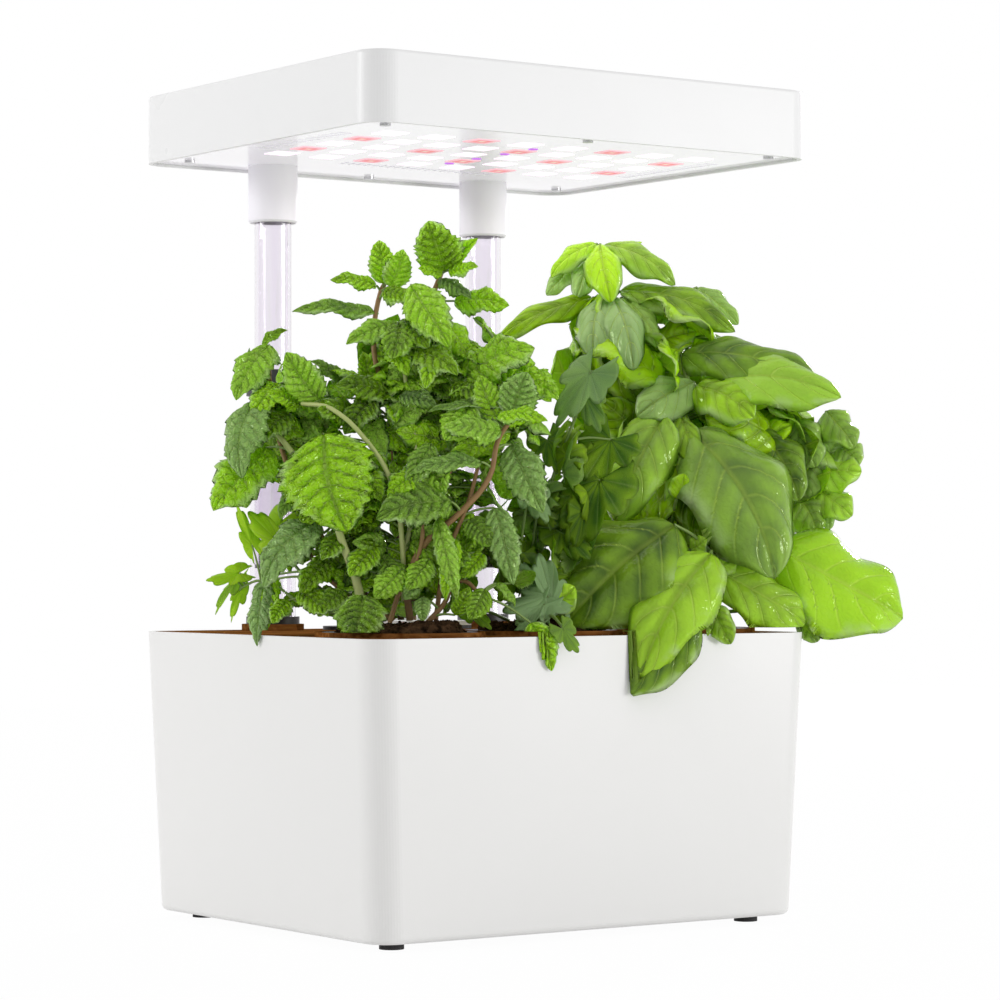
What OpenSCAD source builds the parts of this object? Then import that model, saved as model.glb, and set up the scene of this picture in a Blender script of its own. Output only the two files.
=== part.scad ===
// Countertop hydroponic garden: a leaning-sided white planter with a bamboo deck, three
// net pots of herbs in it, and a flat grow lamp held on two telescoping clear tubes.
// Millimetres, +Z up. The origin is on the table, under the middle of the planter.

/* [Planter] */
// Width over the planter rim and the lamp hood
body_w = 280; // [274:2:310]
// Depth over the planter rim and the lamp hood
body_d = 232; // [228:2:256]
// Height of the planter wall above its feet
planter_h = 150; // [140:5:175]
// Radius of the upright corners
corner_r = 15; // [10:1:20]
// How far each end wall leans in at the base
lean_x = 6; // [2:0.5:8]
// How far the front and back walls lean in at the base
lean_y = 4.2; // [2:0.2:6]
// Wall thickness of the planter
wall = 3.2; // [2.4:0.2:4]
// Rounding of the bottom edge
base_round = 3; // [1:0.5:4]
// Height of the rubber feet
foot_h = 4; // [2:0.5:6]
// Diameter of the rubber feet
foot_d = 12.5; // [10:0.5:18]
// Distance of a foot's middle from the rim line along the width
foot_in_x = 27; // [22:1:34]
// Distance of a foot's middle from the rim line along the depth
foot_in_y = 24; // [20:1:34]

/* [Water tank] */
// Wall thickness of the inner tank
tank_wall = 2; // [1.6:0.2:2.4]
// Thickness of the flange that the tank hangs by
flange_t = 3; // [2:0.5:4]
// Width of the shelf inside the planter wall
shelf_w = 4; // [3:0.5:4.5]
// Thickness of that shelf
shelf_t = 3; // [2:0.5:5]
// Free height under the tank floor
tank_lift = 5; // [2:1:12]

/* [Deck] */
// Thickness of the bamboo deck
deck_t = 8; // [6:0.5:10]
// Depth of the deck's face below the rim
deck_drop = 0; // [0:0.5:3]
// Gap between the deck's edge and the planter wall
deck_gap = 0.5; // [0.3:0.1:1]
// Diameter of the raised ring round each tube
boss_d = 34; // [32:0.5:36]
// Height of the raised ring
boss_h = 3.5; // [2:0.5:5]

/* [Net pots] */
// Distance of an outer pot's middle from the rim line at its side
pot_in_x = 52; // [50:1:54]
// Distance of the pots' middles from the front rim line
pot_in_y = 54; // [52:1:60]
// Gap between the flanges of neighbouring pots
pot_apart = 8; // [4:0.5:12]
// Width of the raised wooden ring round a pot's opening
pot_ring_w = 2.8; // [2:0.2:3.5]
// Height of that ring above the deck's face
pot_ring_h = 2.2; // [1.5:0.1:3]
// How far a pot's flange overhangs its body
pot_lip = 4.5; // [3.5:0.5:6]
// How far a pot's side leans in on its way down
pot_taper = 7.5; // [4:0.5:10]
// Depth of the pot below the deck's face
pot_depth = 68; // [56:2:76]
// Wall thickness of the pot
pot_wall = 1.6; // [1.2:0.2:2.2]
// Height of the growing medium above the deck's face
medium_rise = 8; // [5:0.5:10]
// Width of the wick strip
wick_w = 12; // [8:1:14]
// Length of the wick that hangs under the pot
wick_drop = 58; // [30:2:60]

/* [Filling and level] */
// Width of the filling flap
flap_w = 44; // [40:1:46]
// Depth of the filling flap
flap_d = 32; // [30:1:34]
// Thickness of the flap
flap_t = 2.5; // [2:0.5:3.5]
// Distance of the filling opening to the right of the middle
fill_x = 22; // [21:0.5:24]
// Distance of the filling opening's middle from the rear rim line
fill_back = 38; // [36:1:42]
// Diameter of the flap's hinge pin
hinge_pin_d = 2; // [1.6:0.2:2.4]
// Distance of the level float to the left of the middle
float_left = 26; // [24:1:28]
// Distance of the level float from the rear rim line
float_back = 34; // [30:1:40]
// Inner diameter of the float's cage
cage_bore_d = 20; // [18:0.5:22]
// Diameter of the float
float_d = 18; // [15:0.5:19]
// Height of the float
float_h = 20; // [14:1:26]
// Diameter of the float's rod
rod_d = 4; // [3:0.5:5]

/* [Telescoping tubes] */
// Distance of each tube from the middle
tube_x = 70; // [66:1:74]
// Distance of the tubes from the rear rim line
tube_back = 24.5; // [24:0.5:26]
// Outer diameter of the upper clear tube
upper_d = 20; // [18:0.5:20.5]
// Wall thickness of the upper clear tube
upper_wall = 2; // [1.5:0.25:3]
// Outer diameter of the lower clear tube
lower_d = 25; // [24:0.25:25.5]
// Height of the lower tube's top above the rim
lower_rise = 136; // [120:2:144]
// Length of upper tube inside the lower one
upper_overlap = 100; // [60:5:110]
// Running clearance round a sliding shaft
running = 0.08; // [0.03:0.01:0.1]
// Depth of the tube's seat in its collar
collar_seat = 27; // [20:1:28]
// Outer diameter of the white collars
collar_d = 27; // [25:0.5:30]
// Height of the white collars
collar_h = 31; // [30:1:36]
// Height of the black ring at the top of the lower tube
ring_h = 14; // [10:1:20]

/* [Lamp] */
// Height of the lamp's lower edge above the rim
lamp_rise = 252; // [248:2:300]
// Height of the lamp hood
hood_h = 36; // [34:1:44]
// Wall thickness of the hood
hood_wall = 2.5; // [2:0.25:3]
// Depth of the light panel inside the hood's lower edge
panel_in = 1.5; // [1.5:0.5:3]
// Thickness of the light panel
panel_t = 2; // [1.5:0.25:2.5]
// Distance between lights along a row
led_pitch_x = 28; // [26:0.5:28.5]
// Distance between rows of lights
led_pitch_y = 26; // [24:0.5:27]
// Distance of the light rows in front of the middle
led_front = 16; // [13:1:18]
// Side of a light's square lens
lens_w = 14; // [10:0.5:15]
// Diameter of the small violet lights
violet_d = 5; // [3:0.5:6]
// Diameter of the power button
button_d = 12; // [9:0.5:14]
// Travel of the power button
button_travel = 0.8; // [0.5:0.1:1.2]

/* [Hidden] */

$fn = 64;
rim_z = foot_h + planter_h;
floor_z = foot_h + wall;
deck_z = rim_z - deck_drop;
deck_low_z = deck_z - deck_t;
shelf_z = deck_low_z - flange_t;
seat_gap = 0.1;                        // between pieces that sit in one another
loose = 0.6;                           // round pieces that drop into place
tube_y = body_d / 2 - tube_back;
fill_y = body_d / 2 - fill_back;
float_y = body_d / 2 - float_back;
pot_pitch = body_w / 2 - pot_in_x;
pot_flange_d = pot_pitch - pot_apart;
pot_d = pot_flange_d - 2 * pot_lip;
pot_floor_d = pot_d - 2 * pot_taper;
pot_xs = [-pot_pitch, 0, pot_pitch];
pot_y = pot_in_y - body_d / 2;
pot_low_z = deck_z - pot_depth;
pot_flange_t = 2;
medium_z = deck_z + medium_rise;
socket_wall = 1;
socket_d = lower_d + 2 * (running + socket_wall);
socket_ring_d = socket_d + 2;
socket_ring_h = 4;
socket_floor_z = deck_low_z - 10;
boss_z = deck_z + boss_h;
screw_d = 3;
lower_top_z = rim_z + lower_rise;
hood_z = rim_z + lamp_rise;
hood_top_z = hood_z + hood_h;
hood_top_t = hood_wall;
panel_z = hood_z + panel_in;
panel_top_z = panel_z + panel_t;
collar_low_z = panel_z - collar_h;
upper_top_z = collar_low_z + collar_seat;
upper_low_z = lower_top_z - upper_overlap;
chip_h = 1;
lens_flange_t = 0.9;
led_z = panel_top_z + 2;
board_t = 1.6;
spreader_t = 2;
driver_z = hood_z + 19;
driver_w = 76;
driver_d = 40;
driver_y = body_d / 2 - 38;
jack_x = 22;
stud_d = 14;
bridge_t = 2;
nut_d = 24;
nut_h = 5;
mid_screw_in = 13;
panel_screw_l = 13;
driver_screw_l = 9;
led_w = 8 * led_pitch_x * 7 / 8;       // nine lights share the width of eight
lead_d = 1.6;
button_flange_h = 1.2;
switch_w = 6;
switch_h = 4;
switch_top_z = driver_z + board_t + switch_h;

// Solid or outline of a rectangle with round corners
module round_rect(w, d, r) {
    square([w - 2 * r, d], center = true);
    square([w, d - 2 * r], center = true);
    for (x = [-1, 1], y = [-1, 1]) translate([x * (w / 2 - r), y * (d / 2 - r)]) circle(r);
}
module slab(w, d, r, z, t) { translate([0, 0, z]) linear_extrude(t) round_rect(w, d, r); }
module ring(outer, inner, h) {
    difference() {
        cylinder(h = h, d = outer);
        translate([0, 0, -1]) cylinder(h = h + 2, d = inner);
    }
}
module each_tube() { for (side = [-1, 1]) translate([side * tube_x, tube_y, 0]) children(); }
module each_corner(x, y) { for (i = [-1, 1], j = [-1, 1]) translate([i * x, j * y, 0]) children(); }

// Width and depth of the planter's outside at a height
function outer_w(z) = body_w - 2 * lean_x * (rim_z - z) / planter_h;
function outer_d(z) = body_d - 2 * lean_y * (rim_z - z) / planter_h;
module leaning_block(z0, z1, inset, r) {
    hull() {
        for (z = [z0, z1 - 0.01]) slab(outer_w(z) - 2 * inset, outer_d(z) - 2 * inset, r, z, 0.01);
    }
}

// ---- Planter ----
feet_x = body_w / 2 - foot_in_x;
feet_y = body_d / 2 - foot_in_y;
peg_d = 5;
module planter_outside() {
    hull() {
        for (a = [0:15:90]) {
            z = foot_h + base_round * (1 - sin(a));
            pull = base_round * (1 - cos(a));
            slab(outer_w(z) - 2 * pull, outer_d(z) - 2 * pull, corner_r - pull, z, 0.01);
        }
        slab(body_w, body_d, corner_r, rim_z - 0.01, 0.01);
    }
}
module planter_shell() color([0.93, 0.93, 0.92]) {
    shelf_r = corner_r - wall - shelf_w;
    difference() {
        planter_outside();
        difference() {
            leaning_block(floor_z, rim_z + 0.1, wall, corner_r - wall);
            difference() {
                slab(body_w, body_d, corner_r, shelf_z - shelf_t, shelf_t);
                slab(outer_w(shelf_z) - 2 * (wall + shelf_w), outer_d(shelf_z) - 2 * (wall + shelf_w),
                    shelf_r, shelf_z - shelf_t - 1, shelf_t + 2);
            }
        }
        each_corner(feet_x, feet_y) cylinder(h = floor_z + 1, d = peg_d + 2 * seat_gap);
    }
}
module rubber_feet() color([0.06, 0.06, 0.06]) each_corner(feet_x, feet_y) {
    cylinder(h = foot_h, d = foot_d);
    cylinder(h = floor_z, d = peg_d);
}

// ---- Water tank: hangs by its flange on the planter's shelf ----
tank_w = outer_w(shelf_z) - 2 * (wall + shelf_w + loose);
tank_d = outer_d(shelf_z) - 2 * (wall + shelf_w + loose);
tank_r = corner_r - wall - shelf_w - loose;
tank_low_z = floor_z + tank_lift;
tank_draft = 3 * (shelf_z - tank_low_z) / planter_h + lean_x * (shelf_z - tank_low_z) / planter_h;
module tank_block(z0, inset) {
    hull() {
        low = 2 * (inset + tank_draft);
        slab(tank_w - low, tank_d - low, tank_r - tank_wall, z0, 0.01);
        slab(tank_w - 2 * inset, tank_d - 2 * inset, tank_r - inset, deck_low_z - 0.01, 0.01);
    }
}
module water_tank() color([0.13, 0.13, 0.14]) {
    difference() {
        union() {
            tank_block(tank_low_z, 0);
            slab(outer_w(shelf_z) - 2 * (wall + deck_gap), outer_d(shelf_z) - 2 * (wall + deck_gap),
                corner_r - wall - deck_gap, shelf_z, flange_t);
        }
        tank_block(tank_low_z + tank_wall, tank_wall);
        slab(tank_w - 2 * tank_wall, tank_d - 2 * tank_wall, tank_r - tank_wall, deck_low_z - 0.5, 1);
    }
}

// ---- Bamboo deck ----
fill_hole_w = flap_w - 6;
fill_hole_d = flap_d - 6;
cage_d = cage_bore_d + 4;
module bamboo_deck() color([0.52, 0.31, 0.12]) {
    difference() {
        union() {
            slab(outer_w(deck_low_z) - 2 * (wall + deck_gap), outer_d(deck_low_z) - 2 * (wall + deck_gap),
                corner_r - wall - deck_gap, deck_low_z, deck_t);
            each_tube() translate([0, 0, deck_z - 1]) cylinder(h = boss_h + 1, d = boss_d);
            for (x = pot_xs) translate([x, pot_y, deck_z - 1])
                cylinder(h = pot_ring_h + 1, d = pot_flange_d + 2 * (loose + pot_ring_w));
        }
        for (x = pot_xs) translate([x, pot_y, deck_z])
            cylinder(h = pot_ring_h + 1, d = pot_flange_d + 2 * loose);
        for (x = pot_xs) translate([x, pot_y, deck_low_z - 1])
            cylinder(h = deck_t + 2, d = pot_d + 2 * loose);
        each_tube() translate([0, 0, deck_low_z - 1])
            cylinder(h = deck_t + boss_h + 2, d = socket_d + 2 * seat_gap);
        each_tube() for (s = [-1, 1]) translate([s * socket_screw_x, 0, deck_low_z - 1])
            cylinder(h = deck_t - 2, d = screw_d);
        translate([fill_x, fill_y, 0]) slab(fill_hole_w + 2 * seat_gap, fill_hole_d + 2 * seat_gap, 4,
            deck_low_z - 1, deck_t + 2);
        translate([-float_left, float_y, deck_low_z - 1]) cylinder(h = deck_t + 2, d = cage_d + 2 * seat_gap);
    }
}

// ---- Black sockets under the deck, one for each lower tube ----
socket_screw_x = 18;
socket_pad_w = 44;
module tube_sockets() color([0.05, 0.05, 0.05]) each_tube() difference() {
    union() {
        translate([0, 0, socket_floor_z]) cylinder(h = boss_z - socket_floor_z, d = socket_d);
        translate([0, 0, boss_z]) cylinder(h = socket_ring_h, d = socket_ring_d);
        slab(socket_pad_w, socket_d, 4, shelf_z, flange_t);
    }
    translate([0, 0, tube_floor_z])
        cylinder(h = boss_z + socket_ring_h - socket_floor_z, d = lower_d + 2 * running);
    for (s = [-1, 1]) translate([s * socket_screw_x, 0, shelf_z - 1])
        cylinder(h = flange_t + 2, d = screw_d + 2 * seat_gap);
}
module socket_screws() color([0.6, 0.6, 0.62]) each_tube() for (s = [-1, 1])
    translate([s * socket_screw_x, 0, shelf_z - 1.6]) {
        cylinder(h = 1.6, d = 5.4);
        cylinder(h = 1.6 + flange_t + 5, d = screw_d - 0.1);
    }

// ---- Telescoping tubes ----
tube_floor_z = socket_floor_z + 3;
lower_bore_d = upper_d + 2 * running;
upper_bore_d = upper_d - 2 * upper_wall;
module lower_tubes() color([0.85, 0.87, 0.92, 0.4]) each_tube()
    translate([0, 0, tube_floor_z]) ring(lower_d, lower_bore_d, lower_top_z - tube_floor_z);
ring_d = lower_d + 4;
ring_lip = 6;
module lock_rings() color([0.07, 0.07, 0.08]) each_tube()
    translate([0, 0, lower_top_z + ring_lip - ring_h]) difference() {
        cylinder(h = ring_h, d = ring_d);
        translate([0, 0, -1]) cylinder(h = ring_h - ring_lip + 1, d = lower_d + 2 * seat_gap);
        cylinder(h = ring_h + 1, d = lower_bore_d);
    }
module upper_tubes() color([0.85, 0.85, 0.95, 0.4]) each_tube()
    translate([0, 0, upper_low_z]) ring(upper_d, upper_bore_d, upper_top_z - upper_low_z);
plug_h = 10;
module tube_end_plugs() color([0.2, 0.2, 0.21]) each_tube() translate([0, 0, upper_low_z]) {
    cylinder(h = plug_h, d = upper_bore_d - 2 * seat_gap);
    translate([0, 0, -2]) cylinder(h = 2, d = upper_d);
}

// ---- Filling opening with its hinged flap ----
fill_neck_t = 2;
hinge_y = fill_y + flap_d / 2 + 3;
hinge_z = deck_z + 2 + flap_t;
ear_x = flap_w / 2 - 5;
ear_t = 3;
knuckle_d = hinge_pin_d + 3;
module fill_bezel() color([0.1, 0.1, 0.1]) difference() {
    union() {
        translate([fill_x, fill_y, 0]) slab(flap_w, flap_d, 5, deck_z, 2);
        translate([fill_x, fill_y, 0]) slab(fill_hole_w, fill_hole_d, 4, deck_low_z - 6, deck_t + 7);
        for (s = [-1, 1]) translate([fill_x + s * ear_x - ear_t / 2, 0, 0]) {
            translate([0, hinge_y, hinge_z]) rotate([0, 90, 0]) cylinder(h = ear_t, d = knuckle_d);
            translate([0, hinge_y - knuckle_d / 2, deck_z]) cube([ear_t, knuckle_d, hinge_z - deck_z]);
            translate([0, hinge_y - knuckle_d / 2 - 2, deck_z]) cube([ear_t, 3, 2]);
        }
    }
    translate([fill_x, fill_y, 0]) slab(fill_hole_w - 2 * fill_neck_t, fill_hole_d - 2 * fill_neck_t, 3,
        deck_low_z - 8, deck_t + 12);
    translate([fill_x - flap_w, hinge_y, hinge_z]) rotate([0, 90, 0])
        cylinder(h = 2 * flap_w, d = hinge_pin_d + 0.04);
}
module hinge_pin() color([0.7, 0.7, 0.72]) translate([fill_x - ear_x - ear_t / 2, hinge_y, hinge_z])
    rotate([0, 90, 0]) cylinder(h = 2 * ear_x + ear_t, d = hinge_pin_d);
module fill_flap() color([0.92, 0.92, 0.91]) translate([fill_x, 0, 0]) difference() {
    knuckle_w = 2 * ear_x - ear_t - 1;
    union() {
        translate([0, fill_y - 0.5, 0]) slab(flap_w, flap_d - 1, 5, deck_z + 2.1, flap_t);
        translate([-knuckle_w / 2, hinge_y, hinge_z]) rotate([0, 90, 0])
            cylinder(h = knuckle_w, d = knuckle_d);
        translate([-knuckle_w / 2, fill_y + flap_d / 2 - 5, deck_z + 2.1]) cube([knuckle_w, 7, flap_t]);
    }
    translate([-flap_w, hinge_y, hinge_z]) rotate([0, 90, 0])
        cylinder(h = 2 * flap_w, d = hinge_pin_d + 2 * running);
}

// ---- Water level float in its cage ----
cage_low_z = tank_low_z + tank_wall + 22;
cage_cap_t = 2;
float_low_z = cage_low_z + 3;
rod_top_z = deck_z + cage_cap_t + 2;
module float_cage() color([0.12, 0.12, 0.12]) translate([-float_left, float_y, 0]) {
    difference() {
        union() {
            translate([0, 0, cage_low_z]) cylinder(h = deck_z - cage_low_z, d = cage_d);
            translate([0, 0, deck_z]) cylinder(h = cage_cap_t, d = cage_d + 6);
        }
        translate([0, 0, cage_low_z - 1]) cylinder(h = deck_z - cage_low_z + 1, d = cage_bore_d);
        translate([0, 0, deck_z - 2]) cylinder(h = 8, d = rod_d + 2 * running);
        for (a = [0, 90]) rotate([0, 0, a]) translate([-cage_d, -2.5, cage_low_z + 8])
            cube([2 * cage_d, 5, deck_low_z - cage_low_z - 26]);
    }
    difference() {
        translate([0, 0, cage_low_z]) cylinder(h = float_low_z - cage_low_z, d = cage_bore_d + 1);
        translate([0, 0, cage_low_z - 1]) cylinder(h = 6, d = cage_bore_d - 6);
    }
}
module level_float() color([0.95, 0.6, 0.1]) translate([-float_left, float_y, 0]) {
    translate([0, 0, float_low_z]) cylinder(h = float_h, d = float_d);
    translate([0, 0, float_low_z]) cylinder(h = rod_top_z - float_low_z, d = rod_d);
}
module float_tip() color([0.8, 0.1, 0.1]) translate([-float_left, float_y, rod_top_z]) {
    cylinder(h = 1.5, d = rod_d + 2);
    translate([0, 0, 1.5]) intersection() {
        sphere(d = rod_d + 2);
        cylinder(h = 4, d = rod_d + 4);
    }
}

// ---- Net pots, growing medium and wicks ----
module net_pot(x) color([0.1, 0.1, 0.1]) translate([x, pot_y, 0]) difference() {
    rotate_extrude() polygon([
        [0, pot_low_z], [pot_floor_d / 2, pot_low_z], [pot_d / 2, deck_z], [pot_flange_d / 2, deck_z],
        [pot_flange_d / 2, deck_z + pot_flange_t], [pot_d / 2 - pot_wall, deck_z + pot_flange_t],
        [pot_floor_d / 2 - pot_wall, pot_low_z + pot_wall], [0, pot_low_z + pot_wall]]);
    for (a = [15:30:165]) rotate([0, 0, a]) translate([-pot_d, -2, pot_low_z + 8])
        cube([2 * pot_d, 4, pot_depth - 26]);
    translate([0, 0, pot_low_z]) cube([wick_w + 1, 3, 8], center = true);
}
module medium(x) color([0.12, 0.08, 0.05]) translate([x, pot_y, 0]) rotate_extrude() {
    low = pot_floor_d / 2 - pot_wall - 0.3;
    top = pot_d / 2 - pot_wall - 0.3;
    polygon([[0, pot_low_z + pot_wall], [low, pot_low_z + pot_wall], [top, deck_z + pot_flange_t],
        [top - 5, medium_z - 1.5], [top - 11, medium_z], [0, medium_z]]);
}
module wick(x) color([0.85, 0.83, 0.78]) translate([x - wick_w / 2, pot_y - 1, pot_low_z - wick_drop])
    cube([wick_w, 2, wick_drop + pot_wall]);
module net_pot_left() net_pot(pot_xs[0]);
module net_pot_centre() net_pot(pot_xs[1]);
module net_pot_right() net_pot(pot_xs[2]);
module medium_left() medium(pot_xs[0]);
module medium_centre() medium(pot_xs[1]);
module medium_right() medium(pot_xs[2]);
module wick_left() wick(pot_xs[0]);
module wick_centre() wick(pot_xs[1]);
module wick_right() wick(pot_xs[2]);

// ---- Herbs: the room each plant's leaves fill, on the stems that carry them ----
// Each mass of leaves is [[across, back, up from the growing medium's top], [half sizes]],
// measured from the middle of its own pot, for pots that stand 88 mm apart.
herb_scale = pot_pitch / 88;
module mass(m) { translate(m[0]) hull() scale(m[1]) sphere(r = 1, $fn = 18); }
module stem(p, q, d) {
    v = q - p;
    translate(p) rotate([0, acos(v[2] / norm(v)), atan2(v[1], v[0])]) cylinder(h = norm(v), d = d, $fn = 20);
}
mint_masses = [
    [[10, 38, 100], [62, 58, 58]],
    [[26, 30, 152], [40, 36, 42]],
    [[-42, 56, 104], [36, 32, 36]],
    [[4, 12, 38], [40, 40, 34]],
    [[56, -2, 122], [26, 26, 28]]];
basil_masses = [
    [[14, 24, 102], [48, 52, 56]],
    [[-18, 46, 158], [32, 30, 34]],
    [[-18, 36, 188], [16, 15, 14]],
    [[66, 2, 90], [28, 32, 36]],
    [[2, -14, 38], [44, 34, 34]],
    [[76, -22, 80], [20, 18, 28]]];
cilantro_masses = [
    [[-14, -12, 17], [25, 24, 15]],
    [[4, -24, 76], [14, 16, 42]]];
side_cilantro_masses = [
    [[-52, 66, 20], [18, 14, 16]],
    [[-52, 52, 36], [12, 9, 13]]];
// The main leaves, each [stalk end, tip, width, thickness, roll about its own length]
mint_leaves = [
    [[30, 8, 172], [18, 0, 204], 26, 9, 10],
    [[8, 30, 160], [8, 34, 196], 17, 8, -40],
    [[12, 10, 172], [17, -20, 138], 25, 10, 55],
    [[36, 8, 166], [58, -16, 160], 18, 8, 55],
    [[10, 30, 158], [-38, 40, 158], 17, 8, -40],
    [[-38, 58, 144], [-68, 50, 112], 25, 9, -20],
    [[-46, 52, 120], [-76, 32, 74], 27, 10, -5],
    [[-44, 50, 92], [-86, 42, 56], 32, 10, -30],
    [[-26, 6, 40], [-48, 2, 96], 42, 10, 45],
    [[-28, 26, 54], [-66, 24, 20], 22, 8, -40],
    [[10, -14, 58], [-26, -18, 50], 20, 9, -35],
    [[46, -8, 106], [2, -36, 100], 20, 8, -20],
    [[46, -18, 106], [46, -50, 126], 24, 8, -60],
    [[48, -16, 128], [66, -50, 112], 20, 8, 50],
    [[32, -2, 98], [50, -54, 54], 20, 9, 55]];
basil_leaves = [
    [[-14, 42, 196], [14, 12, 180], 22, 8, 45],
    [[-22, 40, 196], [-44, 50, 176], 18, 8, -45],
    [[-20, 40, 172], [-78, 56, 150], 20, 9, -45],
    [[-12, 38, 176], [36, -10, 156], 26, 9, 45],
    [[-22, 36, 172], [-42, 16, 140], 26, 9, 5],
    [[-20, 32, 172], [-28, 0, 134], 27, 9, 10],
    [[8, 14, 140], [60, -52, 126], 36, 10, 50],
    [[12, 6, 126], [54, -72, 118], 36, 10, 55],
    [[6, 2, 126], [-26, -4, 108], 30, 10, -40],
    [[-8, 4, 110], [-46, -8, 52], 36, 10, -30],
    [[4, -6, 102], [22, -66, 26], 54, 12, 40],
    [[-20, -30, 48], [-66, -36, 24], 36, 9, -35],
    [[4, -32, 34], [52, -52, 6], 32, 9, 70],
    [[34, -22, 42], [110, -64, 4], 54, 10, 60]];
leaf_gap = 0.3;
module at_pot(i) { translate([pot_xs[i], pot_y, medium_z]) scale(herb_scale) children(); }
module leaf(l) {
    v = l[1] - l[0];
    translate((l[0] + l[1]) / 2) rotate([0, acos(v[2] / norm(v)), atan2(v[1], v[0])]) rotate(l[4])
        hull() scale([l[3] / 2, l[2] / 2, norm(v) / 2]) sphere(r = 1, $fn = 14);
}
// The two leaves that hang over the rim, measured from the rim in front of the right pot
hang_leaves = [
    [[-24, -12, 40], [-70, -15, -20], 40, 9, -40],
    [[-48, -18, 8], [-76, -12, -30], 28, 7, -60]];
module mint_plant() color([0.24, 0.5, 0.12]) at_pot(0) {
    for (m = mint_masses) mass(m);
    for (l = mint_leaves) leaf(l);
    for (x = [-8, 8]) stem([x, -4, leaf_gap], [x, -4, 36], 6);
}
module side_cilantro_plant() color([0.45, 0.6, 0.4]) at_pot(0) {
    for (m = side_cilantro_masses) mass(m);
    stem([-18, 16, leaf_gap], [-18, 16, 6], 4);
    stem([-18, 16, 5], [-46, 60, 18], 4);
}
module cilantro_plant() color([0.4, 0.58, 0.38]) at_pot(1) {
    for (m = cilantro_masses) mass(m);
    stem([-4, -4, leaf_gap], [-4, -4, 16], 6);
    stem([-6, -16, 24], [2, -24, 40], 6);
}
module basil_plant() color([0.3, 0.6, 0.1]) at_pot(2) {
    for (m = basil_masses) mass(m);
    for (l = basil_leaves) leaf(l);
    for (x = [-8, 8]) stem([x, -4, leaf_gap], [x, -4, 60], 7);
}
module basil_rim_leaves() color([0.3, 0.6, 0.1]) {
    rim = [pot_xs[2], -body_d / 2, rim_z];
    low = basil_masses[4];
    translate(rim) for (l = hang_leaves) leaf(l);
    difference() {
        stem(rim + hang_leaves[0][0] + [-6, -1, -8],
            [pot_xs[2], pot_y, medium_z] + herb_scale * [-8, -30, 34], 6);
        at_pot(2) mass([low[0], low[1] + leaf_gap * [1, 1, 1]]);
    }
}

// ---- Lamp hood ----
screw_x = body_w / 2 - 18;
screw_y = body_d / 2 - 20;
module each_panel_screw() {
    translate([0, -4, 0]) each_corner(screw_x, screw_y) children();
    for (j = [-1, 1]) translate([0, j * (body_d / 2 - mid_screw_in), 0]) children();
}
post_d = 7;
pilot_d = 2.6;
button_y = driver_y - 4;
driver_hole_x = driver_w / 2 - 5;
driver_hole_y = driver_d / 2 - 5;
jack_nose_d = 8;
jack_z = driver_z + board_t + 5.5;
module hood_outside() {
    edge = 1.5;
    hull() {
        slab(body_w, body_d, corner_r, hood_z, hood_h - edge);
        for (a = [0:30:90]) slab(body_w - 2 * edge * (1 - cos(a)), body_d - 2 * edge * (1 - cos(a)),
            corner_r - edge * (1 - cos(a)), hood_top_z - edge + edge * sin(a) - 0.01, 0.01);
    }
}
module hood_shell() color([0.94, 0.94, 0.94]) {
    difference() {
        hood_outside();
        slab(body_w - 2 * hood_wall, body_d - 2 * hood_wall, corner_r - hood_wall, hood_z - 1,
            hood_h - hood_top_t + 1);
        translate([0, button_y, hood_top_z - 10]) cylinder(h = 20, d = button_d + 2 * running);
        translate([jack_x, body_d / 2 + 1, jack_z]) rotate([90, 0, 0])
            cylinder(h = 6, d = jack_nose_d + 2 * seat_gap);
    }
    each_panel_screw() translate([0, 0, panel_top_z])
        ring(post_d, pilot_d, hood_top_z - hood_top_t - panel_top_z + 0.5);
    translate([0, driver_y, driver_z + board_t]) each_corner(driver_hole_x, driver_hole_y)
        ring(5, 1.9, hood_top_z - hood_top_t - driver_z - board_t + 0.5);
}
module driver_screws() color([0.7, 0.7, 0.7]) translate([0, driver_y, driver_z - 1.2])
    each_corner(driver_hole_x, driver_hole_y) {
        cylinder(h = 1.2, d = 3.4);
        cylinder(h = driver_screw_l, d = 1.8);
    }

// Light positions: five rows, of eight and nine by turns; r marks the red ones
function row_count(row) = row % 2 == 0 ? 8 : 9;
function led_x(row, i) = -led_w / 2 + led_w * i / (row_count(row) - 1);
function led_y(row) = -led_front + (row - 2) * led_pitch_y;
function is_red(row, i) = row % 2 == 0 ? (i == 2 || i == 5) : (i % 4 == 0);
module each_led(red) {
    for (row = [0:4], i = [0:row_count(row) - 1]) if (is_red(row, i) == red)
        translate([led_x(row, i), led_y(row), 0]) children();
}
module each_violet() {
    for (row = [0:3]) translate([0, led_y(row) + led_pitch_y / 2, 0]) children();
}
vent_len = 9;
vent_w = 2;
module vents() {
    side_x = led_w / 2 + 20;
    for (s = [-1, 1], i = [0:13]) translate([s * side_x, led_y(2) - 1 + (i - 6.5) * 6, 0]) children(0);
    for (i = [0:19]) translate([(i - 9.5) * 5, led_y(4) + 18, 0]) children(1);
}
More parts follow.
